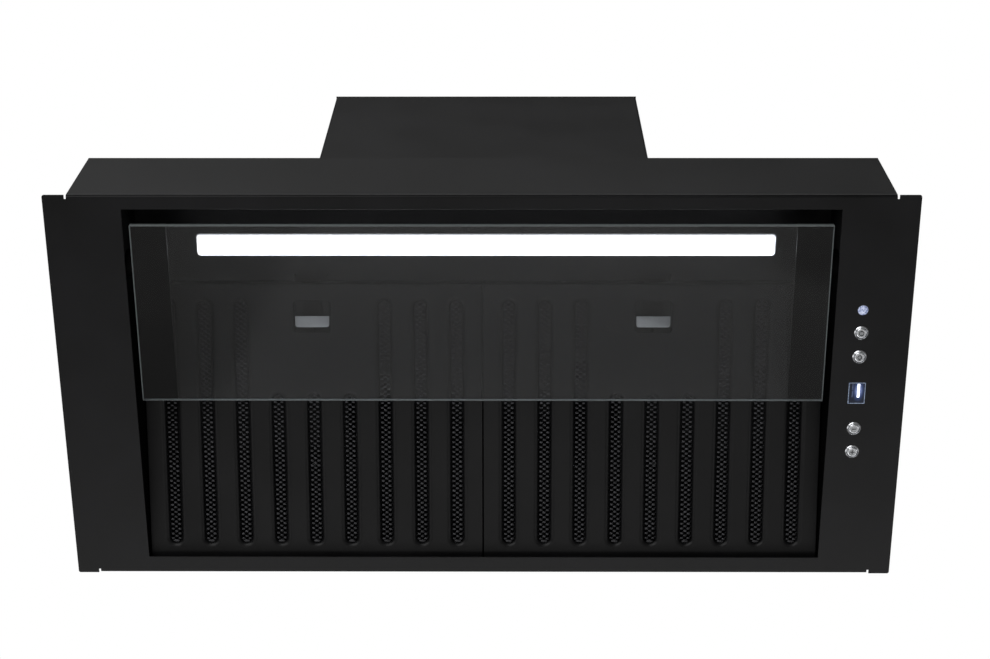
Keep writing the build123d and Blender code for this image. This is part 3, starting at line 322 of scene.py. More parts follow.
# %% [markdown]
# ## Glass, lamp and small plastics
#
# The visor is smoked float glass: clear, a little grey, and just smooth enough that it mirrors
# the studio softly. Light on its way to the filters has to pass it, so a ray that only asks for
# shadow sees a tinted pane, which is what the Light Path node tells apart. The ground edges
# scatter light and look pale. The lamp's diffuser is opal acrylic with light behind it, weaker in
# its rounded rim. The small parts are what such parts usually are: nylon bushes, green circuit
# boards and grey satin button caps.

# %% Glass and opal acrylic


def smoked_glass():
    material, shader, place = new_finish("smoked_float_glass", "#c9cbce", 0.0, 0.02)
    shader.inputs["Transmission Weight"].default_value = 1.0
    shader.inputs["IOR"].default_value = 1.5
    shader.inputs["Specular IOR Level"].default_value = 0.3
    film = add_node(material, "TexNoise", Vector=place, Scale=1 / (90 * MM), Detail=2.0)
    haze = add_node(material, "MapRange", Value=film.outputs["Fac"], i3=0.035, i4=0.06)
    connect(material, haze.outputs["Result"], shader, "Roughness")
    clear = add_node(material, "BsdfTransparent", Color=linear("#dcdde0"))
    ray = add_node(material, "LightPath")
    pane = add_node(material, "MixShader", Fac=ray.outputs["Is Shadow Ray"], i1=shader.outputs["BSDF"],
                    i2=clear.outputs["BSDF"])
    use_surface(material, pane.outputs["Shader"])
    return material


def ground_edge():
    material, shader, place = new_finish("ground_glass_edge", "#7d8485", 0.0, 0.55)
    grit = add_node(material, "TexNoise", Vector=place, Scale=1 / (0.8 * MM), Detail=2.0)
    tone = add_node(material, "ValToRGB", stops=[(0.3, "#6f7677"), (0.7, "#8d9495")],
                    Fac=grit.outputs["Fac"])
    connect(material, tone.outputs["Color"], shader, "Base Color")
    return material


DIODE_PITCH = 15 * MM


def opal_lamp(name, strength):
    """Opal acrylic lit from behind. Its glow is a trace weaker between one diode and the next."""
    material, shader, place = new_finish(name, "#f4f6f8", 0.0, 0.35)
    rows = add_node(material, "TexWave", dict(bands_direction="X"), Vector=place, Scale=0.5 / DIODE_PITCH)
    glow = add_node(material, "ValToRGB", stops=[(0.0, "#f1f4fa"), (1.0, "#ffffff")],
                    Fac=rows.outputs["Fac"])
    connect(material, glow.outputs["Color"], shader, "Emission Color")
    shader.inputs["Emission Strength"].default_value = strength
    return material


SMOKED_GLASS = smoked_glass()
GROUND_EDGE = ground_edge()
OPAL = opal_lamp("opal_acrylic_lit", 5.0)
OPAL_RIM = opal_lamp("opal_acrylic_rim", 0.4)
print("glass and lamp:", SMOKED_GLASS.name, GROUND_EDGE.name, OPAL.name)

# %% Moulded plastics, boards and rubber


def moulded(name, dark, light, gloss, grain):
    """Moulded plastic or rubber: one colour with a fine spark-eroded texture."""
    material, shader, place = new_finish(name, dark, 0.0, gloss)
    skin = add_node(material, "TexNoise", Vector=place, Scale=1 / grain, Detail=2.0)
    tone = add_node(material, "ValToRGB", stops=[(0.3, dark), (0.7, light)], Fac=skin.outputs["Fac"])
    connect(material, tone.outputs["Color"], shader, "Base Color")
    bump = add_node(material, "Bump", Height=skin.outputs["Fac"], Distance=0.03 * MM, Strength=0.5)
    connect(material, bump.outputs["Normal"], shader, "Normal")
    return material


def circuit_board():
    """Green solder mask over copper tracks that run 1.2 mm apart."""
    material, shader, place = new_finish("green_circuit_board", "#1d4a30", 0.0, 0.35)
    tracks = add_node(material, "TexWave", dict(bands_direction="Y"), Vector=place,
                      Scale=1 / (1.2 * MM) / math.tau)
    tone = add_node(material, "ValToRGB", stops=[(0.45, "#1a4029"), (0.55, "#2a6140")],
                    Fac=tracks.outputs["Fac"])
    connect(material, tone.outputs["Color"], shader, "Base Color")
    return material


NYLON = moulded("black_glass_filled_nylon", "#070708", "#0c0c0d", 0.6, 0.8 * MM)
CAP_GREY = moulded("satin_grey_button_cap", "#8d8f92", "#c4c6c9", 0.35, 0.7 * MM)
MARK_GREY = moulded("dark_grey_button_print", "#1d1d20", "#2b2b2f", 0.5, 0.7 * MM)
RUBBER = moulded("soft_black_rubber", "#141415", "#1b1b1c", 0.75, 1.2 * MM)
BOARD = circuit_board()
print("plastics:", NYLON.name, CAP_GREY.name, RUBBER.name, BOARD.name)

# %% [markdown]
# The display is a dark blue lens, and the light sensor a small lilac-tinted eye. Both are clear
# plastic in reality. They are so small and so dark behind that a glossy solid looks the same and
# renders without noise. The sensor eye, the display's body, its pale frame line and its unlit bars
# also glow a little, though none of them is a lamp: a painted glow. A lit digit blooms softly in
# its lens, which is a round gradient in the lens's own glow, centred on the digit.

# %% Lenses over the display and the sensor


# Lens colour that also glows. On the lit segment the glow is its light. On the sensor, the display's body, its
# frame line and its unlit bars it is painted light.
def lens_with_glow(name, dark, light, glow):
    material, shader, place = new_finish(name, dark, 0.0, 0.12)
    depth = add_node(material, "TexNoise", Vector=place, Scale=1 / (1.2 * MM), Detail=1.0)
    tone = add_node(material, "ValToRGB", stops=[(0.35, dark), (0.6, light)], Fac=depth.outputs["Fac"])
    connect(material, tone.outputs["Color"], shader, "Base Color")
    connect(material, tone.outputs["Color"], shader, "Emission Color")
    shader.inputs["Emission Strength"].default_value = glow
    shader.inputs["Coat Weight"].default_value = 0.6
    return material


def lit_lens(centre, reach):
    """The dark lens with the soft bloom that a lit digit throws in it."""
    material, shader, place = new_finish("dark_blue_display_lens", "#10141d", 0.0, 0.12)
    near = add_node(material, "Mapping", Vector=place, Scale=[1 / r for r in reach],
                    Location=[-c / r for c, r in zip(centre, reach)])
    bloom = add_node(material, "TexGradient", dict(gradient_type="SPHERICAL"), Vector=near.outputs["Vector"])
    glow = add_node(material, "ValToRGB", stops=[(0.0, "#151b2a"), (0.35, "#35456e"), (1.0, "#b4c6ff")],
                    Fac=bloom.outputs["Fac"])
    connect(material, glow.outputs["Color"], shader, "Emission Color")
    shader.inputs["Emission Strength"].default_value = 0.8
    return material


lo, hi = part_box("display_window")
DIGIT = Vector((lo.x + 0.595 * (hi.x - lo.x), hi.y - 0.62 * (hi.y - lo.y), lo.z))
DISPLAY_LENS = lit_lens(DIGIT, (4.5 * MM, 9.0 * MM, 9.0 * MM))
# Painted glow: the display body, sensor eye, unlit bars and frame line glow though no lamp is in them.
DARK_LENS = lens_with_glow("dark_display_body_painted_glow", "#10141d", "#171d2b", 0.1)
SENSOR_LENS = lens_with_glow("lilac_sensor_lens_painted_glow", "#66749f", "#c3cbe6", 0.42)
DIGIT_GLOW = lens_with_glow("lit_display_segment", "#d8e2ff", "#f4f7ff", 2.5)
GHOST = lens_with_glow("unlit_segment_painted_glow", "#39415a", "#4a5470", 0.6)
FRAME_LINE = lens_with_glow("display_frame_painted_glow", "#5f6b80", "#8b98ad", 0.5)
print("lenses:", DISPLAY_LENS.name, DARK_LENS.name, SENSOR_LENS.name, DIGIT_GLOW.name)

# %% [markdown]
# ## Finishing the CAD pieces
#
# The record says which finish each node has, so one table takes every slot to its material and
# one loop dresses all sixty nodes. Nodes that are modelled again below are hidden later, and this
# loop makes sure that nothing is left in plain grey.

# %% Every node gets its finish
FINISH = {
    "black_powder_coat": BODY_PAINT, "black_filter_sheet": FILTER_PAINT, "grease_mesh": MESH_METAL,
    "brushed_zinc": LEVER_ZINC, "spring_steel": SPRING, "zinc_plate": ZINC, "tinted_glass": SMOKED_GLASS,
    "opal_diffuser": OPAL, "display_lens": DARK_LENS, "sensor_lens": SENSOR_LENS,
    "chrome_ring": CHROME, "grey_cap": CAP_GREY, "black_nylon": NYLON, "circuit_board": BOARD,
    "soft_rubber": RUBBER,
}
for part in RECORD["subparts"]:
    slots = NODES[part["node"]].data.materials
    slots.clear()
    slots.append(FINISH[part["material_slot"]])
# Painted shade: the walls, rail and lamp housing inside the mouth, and the visor's pivots and bushes, take the
# near-black in place of their own finish, so that they stay dark in the mouth.
for inner in ("well_side_left", "well_side_right", "filter_rail", "lamp_housing"):
    NODES[inner].data.materials[0] = PAINTED_SHADE_BLACK
for hidden in ("visor_pivots", "visor_bushes"):
    NODES[hidden].data.materials[0] = PAINTED_SHADE_BLACK
print("dressed:", len(RECORD["subparts"]), "nodes in", len(FINISH), "finishes")

# %% [markdown]
# ## Turning a mesh into a piece
#
# Each new piece ends in the same way: its mesh goes into an object that sits at the origin, it
# gets its finishes, it rides on the CAD body that it moves with, and it hides the CAD node that it
# stands for. Faces that meet at more than 35 degrees stay crisp, and the others shade smoothly.

# %% Helper that finishes a piece


def finish_piece(name, bm, finishes, body, stands_for=(), crisp=35):
    mesh = bpy.data.meshes.new(name)
    bm.to_mesh(mesh)
    bm.free()
    for material in finishes:
        mesh.materials.append(material)
    mesh.shade_smooth()
    mesh.set_sharp_from_angle(angle=math.radians(crisp))
    piece = bpy.data.objects.new(name, mesh)
    bpy.context.scene.collection.objects.link(piece)
    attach(piece, body)
    if stands_for:
        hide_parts(*stands_for)
    print(name, len(mesh.polygons), "faces")
    return piece


def new_parts(result, kind):
    """The new vertices, edges or faces in what a bmesh operator returns."""
    return [g for g in result["geom"] if isinstance(g, kind)]


def stretched_cube(bm, lo, hi):
    cube = bmesh.ops.create_cube(bm, size=1.0)["verts"]
    bmesh.ops.scale(bm, verts=cube, vec=Vector(hi) - Vector(lo))
    bmesh.ops.translate(bm, verts=cube, vec=(Vector(lo) + Vector(hi)) / 2)
    return cube


def edges_between(verts):
    """The edges whose two ends are both among these vertices."""
    chosen = set(verts)
    return list({e for v in verts for e in v.link_edges if e.verts[0] in chosen and e.verts[1] in chosen})


# %% [markdown]
# ## Where a filter lies
#
# A filter is drawn flat, its rear lower edge on X and its front towards the cook, and is then
# tilted into place. The latch slides in the filter's own plane, so its direction in the record
# gives the tilt. The rest comes from the box of the face sheet. Every number after this is a
# distance on the flat filter.

# %% The filter's own frame
SKIN = 0.8 * MM


def filter_frame(side):
    """Turns flat filter coordinates into the hood's, and gives the filter's width and length."""
    slide = next(j for j in frame["joints"] if j["name"] == f"latch_{side}_slide")
    rearward = Vector(slide["axis"]).normalized()
    inward = Vector((1, 0, 0)).cross(rearward)
    lo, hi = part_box(f"filter_face_{side}")
    rear_edge = Vector(((lo.x + hi.x) / 2, hi.y - SKIN * inward.y, lo.z))
    turn = Matrix((Vector((1, 0, 0)), rearward, inward)).transposed().to_4x4()
    return Matrix.Translation(rear_edge) @ turn, hi.x - lo.x, (rear_edge.y - lo.y) / rearward.y


for side in ("left", "right"):
    place, width, length = filter_frame(side)
    print(side, "filter is", round(width / MM, 1), "by", round(length / MM, 1), "mm")

# %% [markdown]
# ## Pressed shapes in sheet metal
#
# A press leaves soft shoulders: the sheet rolls over, runs down a wall and rounds out again. All
# the pressings here, the long channels, the finger hole and the filter's own rim, are rounded
# rectangles, so two functions make them all. The first draws the outline by pulling a circle's
# quarters apart. The second extrudes that outline ring after ring, each at its own distance from
# the middle and its own depth, which is the same thing as sweeping the press tool's section.

# %% Outline of a pressing, and the rings of its section


def outline(bm, core, radius, segments=32):
    """Edges of a rounded rectangle: everything at one distance from a core rectangle."""
    x0, x1, y0, y1 = core
    half_step = Matrix.Rotation(math.pi / segments, 4, "Z")
    ring = bmesh.ops.create_circle(bm, segments=segments, radius=radius, matrix=half_step)["verts"]
    for v in ring:
        v.co.x += x1 if v.co.x > 0 else x0
        v.co.y += y1 if v.co.y > 0 else y0
    return edges_between(ring)


def press(bm, edges, core, section):
    """Extrudes an outline through a section, a list of distances from the core and heights."""
    x0, x1, y0, y1 = core
    for distance, height in section:
        grown = bmesh.ops.extrude_edge_only(bm, edges=edges)
        ring = new_parts(grown, bmesh.types.BMVert)
        edges = edges_between(ring)
        for v in ring:
            middle = Vector((min(max(v.co.x, x0), x1), min(max(v.co.y, y0), y1), 0))
            outward = Vector((v.co.x, v.co.y, 0)) - middle
            v.co = middle + outward.normalized() * distance + Vector((0, 0, height))
    return edges


# %% [markdown]
# ## The filters' face sheets
#
# Each face is one pressed sheet: flat, with nine slot-shaped channels, three of them short to
# leave room for the finger hole. The sheet rolls softly into every channel and is cut open along
# the bottom, where the mesh shows. The flat part is filled between all the outlines at once, then
# each outline is pressed, and at last a Solidify modifier gives the sheet its thickness.

# %% Sizes of the pressings
CHANNEL_PITCH, CHANNEL_HALF = 26.0 * MM, 6.5 * MM
LONG_FRONT, SHORT_FRONT, CHANNEL_REAR = 10.3 * MM, 79.9 * MM, 8.5 * MM
HOLE_FRONT, HOLE_L, HOLE_W, HOLE_R = 12.5 * MM, 23.0 * MM, 26.5 * MM, 3.0 * MM
SHOULDER = [(8.2, 0.0), (7.4, 0.08), (6.7, 0.26), (6.0, 0.56), (5.4, 0.96), (4.9, 1.45), (4.6, 1.95),
            (4.45, 2.35)]
LIP = [(4.6, 0.0), (4.1, -0.16), (3.6, -0.2), (3.2, -0.05), (3.0, 0.35), (3.0, 0.9)]
RIM = [(2.3, 0.0), (2.5, 0.06), (2.65, 0.2), (2.7, 0.5), (2.7, 1.0)]


def in_metres(section):
    return [(distance * MM, height * MM) for distance, height in section]


def channel_cores(length):
    """Core of each channel: the line between the middles of its two round ends."""
    cores = []
    for i in range(-4, 5):
        front = SHORT_FRONT if abs(i) < 2 else LONG_FRONT
        y0, y1 = front + CHANNEL_HALF - length, -CHANNEL_REAR - CHANNEL_HALF
        cores.append((i * CHANNEL_PITCH, i * CHANNEL_PITCH, y0, y1))
    return cores


def hole_core(length):
    x, y0 = HOLE_W / 2 - HOLE_R, HOLE_FRONT + HOLE_R - length
    return (-x, x, y0, y0 + HOLE_L - 2 * HOLE_R)


print("section of a channel:", SHOULDER)

# %% Face sheet of each filter


def face_sheet(width, length):
    bm = bmesh.new()
    inset = RIM[-1][0] * MM
    rim_core = (-width / 2 + inset, width / 2 - inset, -length + inset, -inset)
    jobs = [(core, SHOULDER) for core in channel_cores(length)]
    jobs += [(hole_core(length), LIP), (rim_core, RIM)]
    drawn = [(outline(bm, core, section[0][0] * MM), core, in_metres(section)) for core, section in jobs]
    flat = [e for edges, core, section in drawn for e in edges]
    bmesh.ops.triangle_fill(bm, use_beauty=True, edges=flat, normal=(0, 0, -1))
    for edges, core, section in drawn:
        start = section[0][0]
        roll = -0.1 * MM if section[-1][0] < start else 0.1 * MM
        press(bm, edges, core, [(start + roll, 0.0)] + section[1:])
    if sum(f.normal.z * f.calc_area() for f in bm.faces) > 0:
        bmesh.ops.reverse_faces(bm, faces=bm.faces)
    return bm


for side in ("left", "right"):
    place, width, length = filter_frame(side)
    bm = face_sheet(width, length)
    bmesh.ops.recalc_face_normals(bm, faces=bm.faces)
    if sum(f.normal.z * f.calc_area() for f in bm.faces) > 0:
        bmesh.ops.reverse_faces(bm, faces=bm.faces)
    bmesh.ops.transform(bm, matrix=place, verts=bm.verts)
    sheet = finish_piece(f"pressed_face_{side}", bm, [FILTER_PAINT], f"filter_{side}",
                         [f"filter_face_{side}"])
    wall = sheet.modifiers.new("sheet thickness", "SOLIDIFY")
    wall.thickness, wall.offset = 0.6 * MM, -1.0

# %% [markdown]
# ## The grease mesh
#
# Behind the open channels lies expanded aluminium: a sheet that is slit and stretched into
# diamonds about 4.9 by 3.7 mm. The bonds between diamonds are flat and catch the light, and the
# strands between them are thin and twisted away, so from below one sees staggered dots on black.
# A grid turned by 45 degrees is cut to the channel and made into strands by the wireframe
# operator, and each bond gets a small flattened sphere, coloured lighter than the strands as a
# painted highlight. At a channel's rear end the mesh's edge is turned up and catches the light,
# and it has the bonds' lighter colour, a painted highlight too. Only what shows through the
# channels is made, because the rest of the mat is hidden behind the sheet.

# %% One row of diamonds
CELL_W, CELL_H = 4.9 * MM, 3.7 * MM
MESH_HALF, MESH_DEEP = 5.2 * MM, 2.75 * MM
BOND = (1.3 * MM, 0.85 * MM, 0.4 * MM, 1)


def diamond_row():
    """One row of expanded mesh as wide as a channel, with the three bonds that show."""
    bm = bmesh.new()
    bmesh.ops.create_grid(bm, x_segments=6, y_segments=6, size=3.0)
    bmesh.ops.rotate(bm, verts=bm.verts, matrix=Matrix.Rotation(math.pi / 4, 3, "Z"))
    bmesh.ops.scale(bm, verts=bm.verts, vec=(CELL_W / math.sqrt(2), CELL_H / math.sqrt(2), 1))
    bmesh.ops.wireframe(bm, faces=bm.faces, thickness=0.55 * MM, use_replace=True, use_even_offset=True)
    bmesh.ops.translate(bm, verts=bm.verts, vec=(0, 0, 0.35 * MM))
    for normal, limit in (((1, 0, 0), MESH_HALF), ((-1, 0, 0), MESH_HALF),
                          ((0, 1, 0), CELL_H / 2), ((0, -1, 0), CELL_H / 2)):
        bmesh.ops.bisect_plane(bm, geom=bm.verts[:] + bm.edges[:] + bm.faces[:], clear_outer=True,
                               plane_co=Vector(normal) * limit, plane_no=normal)
    strands = set(bm.faces)
    for x, y in ((0, 0), (CELL_W / 2, CELL_H / 2), (-CELL_W / 2, CELL_H / 2)):
        bond = Matrix.Translation((x, y, 0)) @ Matrix.Diagonal(BOND)
        bmesh.ops.create_uvsphere(bm, u_segments=8, v_segments=4, radius=1.0, matrix=bond)
    # The bonds take the lighter second finish: a painted highlight.
    for face in bm.faces:
        face.material_index = 0 if face in strands else 1
    return bm


def as_mesh(bm, name):
    mesh = bpy.data.meshes.new(name)
    bm.to_mesh(mesh)
    bm.free()
    return mesh


row = as_mesh(diamond_row(), "row")
print("one row:", len(row.polygons), "faces")

# %% Grease mesh of each filter


TURNED_UP, TURNED_Z = 3.2 * MM, 2.1 * MM
TURNED_EDGE = (2.5 * MM, 1.0 * MM, 0.5 * MM, 1)


def grease_mesh(length):
    """Rows laid one after the other along every channel, and the turned-up edge at its rear end."""
    whole = bmesh.new()
    for x, _, _, y1 in channel_cores(length):
        edge = Matrix.Translation((x, y1 + TURNED_UP, TURNED_Z)) @ Matrix.Diagonal(TURNED_EDGE)
        bmesh.ops.create_uvsphere(whole, u_segments=16, v_segments=8, radius=1.0, matrix=edge)
    # The turned-up edges take the bonds' lighter finish, a painted highlight.
    for face in whole.faces:
        face.material_index = 1
    for x, _, y0, y1 in channel_cores(length):
        first, last = y0 - MESH_HALF, y1 + MESH_HALF
        rows = round((last - first) / CELL_H)
        channel = bmesh.new()
        walker = row.copy()
        walker.transform(Matrix.Translation((x, first + CELL_H / 2, MESH_DEEP)))
        for _ in range(rows):
            channel.from_mesh(walker)
            walker.transform(Matrix.Translation((0, CELL_H, 0)))
        strip = as_mesh(channel, "strip")
        whole.from_mesh(strip)
        bpy.data.meshes.remove(strip)
        bpy.data.meshes.remove(walker)
    return whole


for side in ("left", "right"):
    place, width, length = filter_frame(side)
    bm = grease_mesh(length)
    bmesh.ops.transform(bm, matrix=place, verts=bm.verts)
    finish_piece(f"expanded_mesh_{side}", bm, [MESH_METAL, BOND_HIGHLIGHT_METAL], f"filter_{side}",
                 [f"filter_mesh_{side}"], crisp=50)

# %% [markdown]
# ## The visor glass
#
# The glass is 4 mm float glass with ground and slightly broken edges. A cube is stretched to the
# CAD glass, its edges are bevelled, and the faces that aren't the two big ones get the pale
# ground finish.

# %% Visor glass
lo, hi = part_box("visor_glass")
bm = bmesh.new()
stretched_cube(bm, lo, hi)
bmesh.ops.bevel(bm, geom=bm.edges[:], offset=0.4 * MM, segments=2, profile=0.5, affect="EDGES", material=-1)
for face in bm.faces:
    face.material_index = 0 if abs(face.normal.z) > 0.99 else 1
finish_piece("visor_pane", bm, [SMOKED_GLASS, GROUND_EDGE], "visor", ["visor_glass"], crisp=5)

# %% [markdown]
# ## The lamp
#
# The lamp is an opal strip that fills a slot in the lamp panel and stands half a millimetre
# proud. A wider flange behind the panel holds it. Both are stretched cubes with rounded corners,
# and the strip's lower rim is rounded too, so that its glow falls off softly at the edge.

# %% Opal diffuser
lo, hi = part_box("led_diffuser")
flange = Vector((3.25 * MM, 3.25 * MM, 0))


def opal_pad(bm, lo, hi, corner, rim):
    verts = stretched_cube(bm, lo, hi)
    upright = [e for e in edges_between(verts) if abs(e.verts[0].co.z - e.verts[1].co.z) > 0.1 * MM]
    bmesh.ops.bevel(bm, geom=upright, offset=corner, segments=6, profile=0.5, affect="EDGES", material=-1)
    if rim:
        low = [e for e in bm.edges if all(abs(v.co.z - lo.z) < 1e-6 for v in e.verts)]
        bmesh.ops.bevel(bm, geom=low, offset=rim, segments=3, profile=0.5, affect="EDGES", material=-1)


bm = bmesh.new()
opal_pad(bm, lo + flange, hi - flange, 2.75 * MM, 0.6 * MM)
opal_pad(bm, Vector((lo.x, lo.y, hi.z - 2.0 * MM)), hi, 6.0 * MM, 0)
bmesh.ops.recalc_face_normals(bm, faces=bm.faces)
for face in bm.faces:
    face.material_index = 0 if face.normal.z < -0.98 and face.calc_center_median().z < lo.z + 0.3 * MM else 1
finish_piece("opal_strip", bm, [OPAL, OPAL_RIM], "hood", ["led_diffuser"], crisp=12)

# %% [markdown]
# ## The finger latches
#
# A filter is let go with one finger. The lever is a bent strip of brushed zinc-plated steel with
# rounded corners at the finger's side. Behind it runs a bolt, which slides out of the drawn cup
# into the catch. The bolt is coloured with the mouth's near-black, painted shade that sinks it
# into the cup's shadow. The lever is a bevelled cube, its web stands up from it, and the bolt has
# a sloping nose, so that it snaps in by itself.

# %% Latch levers
LEVER_HALF, LEVER_FRONT, LEVER_REAR = 12.25 * MM, 24.0 * MM, 32.0 * MM
LEVER_LOW, LEVER_TOP, WEB = 1.2 * MM, 2.4 * MM, 1.2 * MM
BOLT_HALF, BOLT_NOSE, BOLT_LOW, BOLT_TOP = 7.0 * MM, -3.6 * MM, 5.0 * MM, 6.6 * MM


NEAR, FINGER_CORNER, SOFT_EDGE, NOSE_SLOPE = 1e-6, 2.0 * MM, 0.25 * MM, 1.2 * MM


def bevelled(bm, edges, offset, segments):
    bmesh.ops.bevel(bm, geom=edges, offset=offset, segments=segments, profile=0.5, affect="EDGES",
                    material=-1)


def is_upright(edge):
    return abs(edge.verts[0].co.x - edge.verts[1].co.x) < NEAR


def latch_lever(length):
    bm = bmesh.new()
    front, rear = LEVER_FRONT - length, LEVER_REAR - length
    plate = stretched_cube(bm, (-LEVER_HALF, front, LEVER_LOW), (LEVER_HALF, rear, LEVER_TOP))
    corners = [e for e in edges_between(plate)
               if all(abs(v.co.y - rear) < NEAR for v in e.verts) and is_upright(e)]
    bevelled(bm, corners, FINGER_CORNER, 5)
    low = [e for e in bm.edges if all(abs(v.co.z - LEVER_LOW) < NEAR for v in e.verts)]
    bevelled(bm, low, SOFT_EDGE, 2)
    stretched_cube(bm, (-BOLT_HALF, rear - WEB, LEVER_TOP), (BOLT_HALF, rear, BOLT_LOW))
    zinc = set(bm.faces)
    tip = BOLT_NOSE - length
    bolt = stretched_cube(bm, (-BOLT_HALF, tip, BOLT_LOW), (BOLT_HALF, rear, BOLT_TOP))
    nose = [e for e in edges_between(bolt)
            if all(v.co.y < tip + NEAR and v.co.z < BOLT_LOW + NEAR for v in e.verts)]
    bevelled(bm, nose, NOSE_SLOPE, 1)
    # The bolt's faces take the near-black: painted shade.
    for face in bm.faces:
        face.material_index = 0 if face in zinc else 1
    return bm


for side in ("left", "right"):
    place, width, length = filter_frame(side)
    bm = latch_lever(length)
    bmesh.ops.transform(bm, matrix=place, verts=bm.verts)
    finish_piece(f"finger_lever_{side}", bm, [LEVER_ZINC, PAINTED_SHADE_BLACK], f"latch_{side}",
                 [f"latch_lever_{side}"], crisp=30)

# %% [markdown]
# ## The control column
#
# Four push buttons stand in polished chrome rings. A ring is turned on a lathe: a cone that draws
# a bright crescent, a narrow rounded rim and a bore, so its section is spun here as well. Each
# cap is moulded with a shallow dish, so that a finger finds it, has a plated slope round it and
# carries a plain mark. The marks say only what any hood's buttons say.

# %% Lathe and button rings
LIP_R, LIP_DEEP, BORE_R, BORE_DEEP, ROUND = 5.1 * MM, 0.6 * MM, 4.15 * MM, 2.2 * MM, 0.12 * MM
BUTTONS = ("power", "light", "minus", "plus")


def lathe(bm, section, place, steps=48):
    """Turns a section, a list of distances from the axis and heights, round an upright axis."""
    verts = [bm.verts.new(place + Vector((distance, 0, height))) for distance, height in section]
    edges = [bm.edges.new(pair) for pair in zip(verts, verts[1:])]
    bmesh.ops.spin(bm, geom=verts + edges, cent=place, axis=(0, 0, 1), angle=math.tau, steps=steps,
                   use_merge=True)
    bmesh.ops.remove_doubles(bm, verts=bm.verts, dist=1e-7)


def ring_section():
    """The bore up to the plate's back, a narrow rounded rim, and a cone out to the plate."""
    rim = [(BORE_R + ROUND * (1 - math.cos(turn)), ROUND * (1 - math.sin(turn)))
           for turn in [math.pi * i / 12 for i in range(9)]]
    return [(BORE_R, BORE_DEEP)] + rim + [(LIP_R - 0.1 * MM, LIP_DEEP - 0.08 * MM), (LIP_R, LIP_DEEP)]


low_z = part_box("button_bezels")[0].z
bm = bmesh.new()
for name in BUTTONS:
    lo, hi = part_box(f"button_{name}")
    middle = (lo + hi) / 2
    lathe(bm, ring_section(), Vector((middle.x, middle.y, low_z)))
bmesh.ops.recalc_face_normals(bm, faces=bm.faces)
finish_piece("chrome_rings", bm, [CHROME], "hood", ["button_bezels"], crisp=40)

# %% Button caps
CAP_R, DISH = 3.9 * MM, 0.35 * MM
CAP_DISH = [(0.0, DISH), (1.4 * MM, DISH * 0.85), (2.3 * MM, DISH * 0.4), (2.75 * MM, 0.0)]
CAP_SLOPE = [(2.95 * MM, 0.0), (3.2 * MM, 0.09 * MM), (3.5 * MM, 0.26 * MM), (3.75 * MM, 0.46 * MM),
             (CAP_R, 0.7 * MM)]
PLATED_FROM, STEM_R, FLANGE_R = 2.8 * MM, 1.5 * MM, 5.3 * MM
FLANGE_LOW, FLANGE_TOP = 3.7 * MM, 4.5 * MM
MARK_LOW, MARK_TOP, MARK_LINE = 0.05 * MM, 0.6 * MM, 0.5 * MM


def mark_bar(bm, place, width, length, offset=0.0):
    half = Vector((width / 2, length / 2, 0))
    at = place + Vector((0, offset, 0))
    stretched_cube(bm, at - half + Vector((0, 0, MARK_LOW)), at + half + Vector((0, 0, MARK_TOP)))


def mark_ring(bm, place, inner):
    outer = inner + MARK_LINE
    lathe(bm, [(inner, MARK_TOP), (inner, MARK_LOW), (outer, MARK_LOW), (outer, MARK_TOP)], place, 32)


def button_mark(bm, name, place):
    if name == "power":
        mark_ring(bm, place, 1.3 * MM)
        mark_bar(bm, place, MARK_LINE, 1.4 * MM, -1.6 * MM)
    elif name == "light":
        mark_ring(bm, place, 1.1 * MM)
        mark_bar(bm, place, 1.2 * MM, MARK_LINE, 2.0 * MM)
    else:
        mark_bar(bm, place, 2.8 * MM, MARK_LINE)
        if name == "plus":
            mark_bar(bm, place, MARK_LINE, 2.8 * MM)


for name in BUTTONS:
    lo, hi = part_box(f"button_{name}")
    place = Vector(((lo.x + hi.x) / 2, (lo.y + hi.y) / 2, lo.z))
    stem = hi.z - lo.z
    bm = bmesh.new()
    flange = [(CAP_R, FLANGE_LOW), (FLANGE_R, FLANGE_LOW), (FLANGE_R, FLANGE_TOP), (STEM_R, FLANGE_TOP)]
    lathe(bm, CAP_DISH + CAP_SLOPE + flange + [(STEM_R, stem), (0.0, stem)], place)
    bmesh.ops.recalc_face_normals(bm, faces=bm.faces)
    cap = set(bm.faces)
    button_mark(bm, name, place)
    for face in bm.faces:
        away = (face.calc_center_median() - place).xy.length
        face.material_index = 1 if face not in cap else 2 if away > PLATED_FROM else 0
    finish_piece(f"cap_{name}", bm, [CAP_GREY, MARK_GREY, CHROME], f"button_{name}",
                 [f"button_{name}"], crisp=40)

# %% [markdown]
# ## The display and the sensor
#
# The display is one seven-segment digit behind a dark blue lens with a pale frame line, and it
# shows a one. Its two lit bars glow, and the two left of them show faintly with a painted glow, as
# the frame line does. All of it is thin stretched cubes, whose faces are told apart as they are
# made. The sensor beside the buttons is a low lilac dome, turned like the caps, whose lens has a
# painted glow.

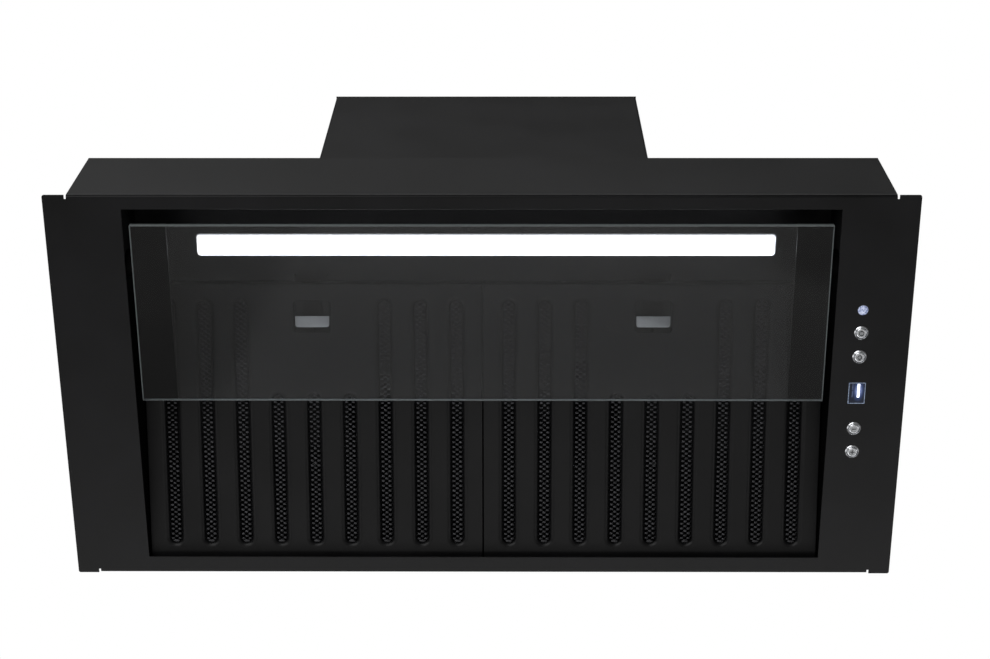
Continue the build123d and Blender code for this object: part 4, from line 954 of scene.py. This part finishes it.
# %% Display
FRAME_W, SEGMENT_W, GHOST_W, SEGMENT_L, PROUD = 0.5 * MM, 1.7 * MM, 0.7 * MM, 4.9 * MM, 0.05 * MM
GHOST_LEFT, HALF_GAP = 4.2 * MM, 0.3 * MM


def upright_segments(bm, across, width):
    """Two bars, one above the other, at this distance beside the lit digit."""
    for step in (-1, 1):
        middle = DIGIT + Vector((across, step * (SEGMENT_L / 2 + HALF_GAP), 0))
        half = Vector((width / 2, SEGMENT_L / 2, 0))
        stretched_cube(bm, middle - half, middle + half + Vector((0, 0, PROUD)))


lo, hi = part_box("display_window")
bm = bmesh.new()
stretched_cube(bm, lo + Vector((0, 0, PROUD)), hi)
lens = set(bm.faces)
for x0, x1, y0, y1 in ((lo.x, lo.x + FRAME_W, lo.y, hi.y), (hi.x - FRAME_W, hi.x, lo.y, hi.y),
                       (lo.x, hi.x, lo.y, lo.y + FRAME_W), (lo.x, hi.x, hi.y - FRAME_W, hi.y)):
    stretched_cube(bm, (x0, y0, lo.z), (x1, y1, lo.z + PROUD))
frame_line = set(bm.faces) - lens
upright_segments(bm, 0, SEGMENT_W)
lit = set(bm.faces) - lens - frame_line
upright_segments(bm, -GHOST_LEFT, GHOST_W)
for face in bm.faces:
    face.material_index = 0 if face in lens else 1 if face in frame_line else 2 if face in lit else 3
finish_piece("display_digit", bm, [DISPLAY_LENS, FRAME_LINE, DIGIT_GLOW, GHOST], "hood",
             ["display_window"], crisp=20)

# %% Sensor eye
DOME_RISE = 1.2 * MM
lo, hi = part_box("ir_sensor")
radius, middle, tall = (hi.x - lo.x) / 2, (lo + hi) / 2, hi.z - lo.z
quarter = [math.pi / 2 * i / 8 for i in range(9)]
dome = [(radius * math.sin(turn), DOME_RISE * (1 - math.cos(turn))) for turn in quarter]
bm = bmesh.new()
lathe(bm, dome + [(radius, tall), (0.0, tall)], Vector((middle.x, middle.y, lo.z)))
bmesh.ops.recalc_face_normals(bm, faces=bm.faces)
finish_piece("sensor_eye", bm, [SENSOR_LENS], "hood", ["ir_sensor"], crisp=40)
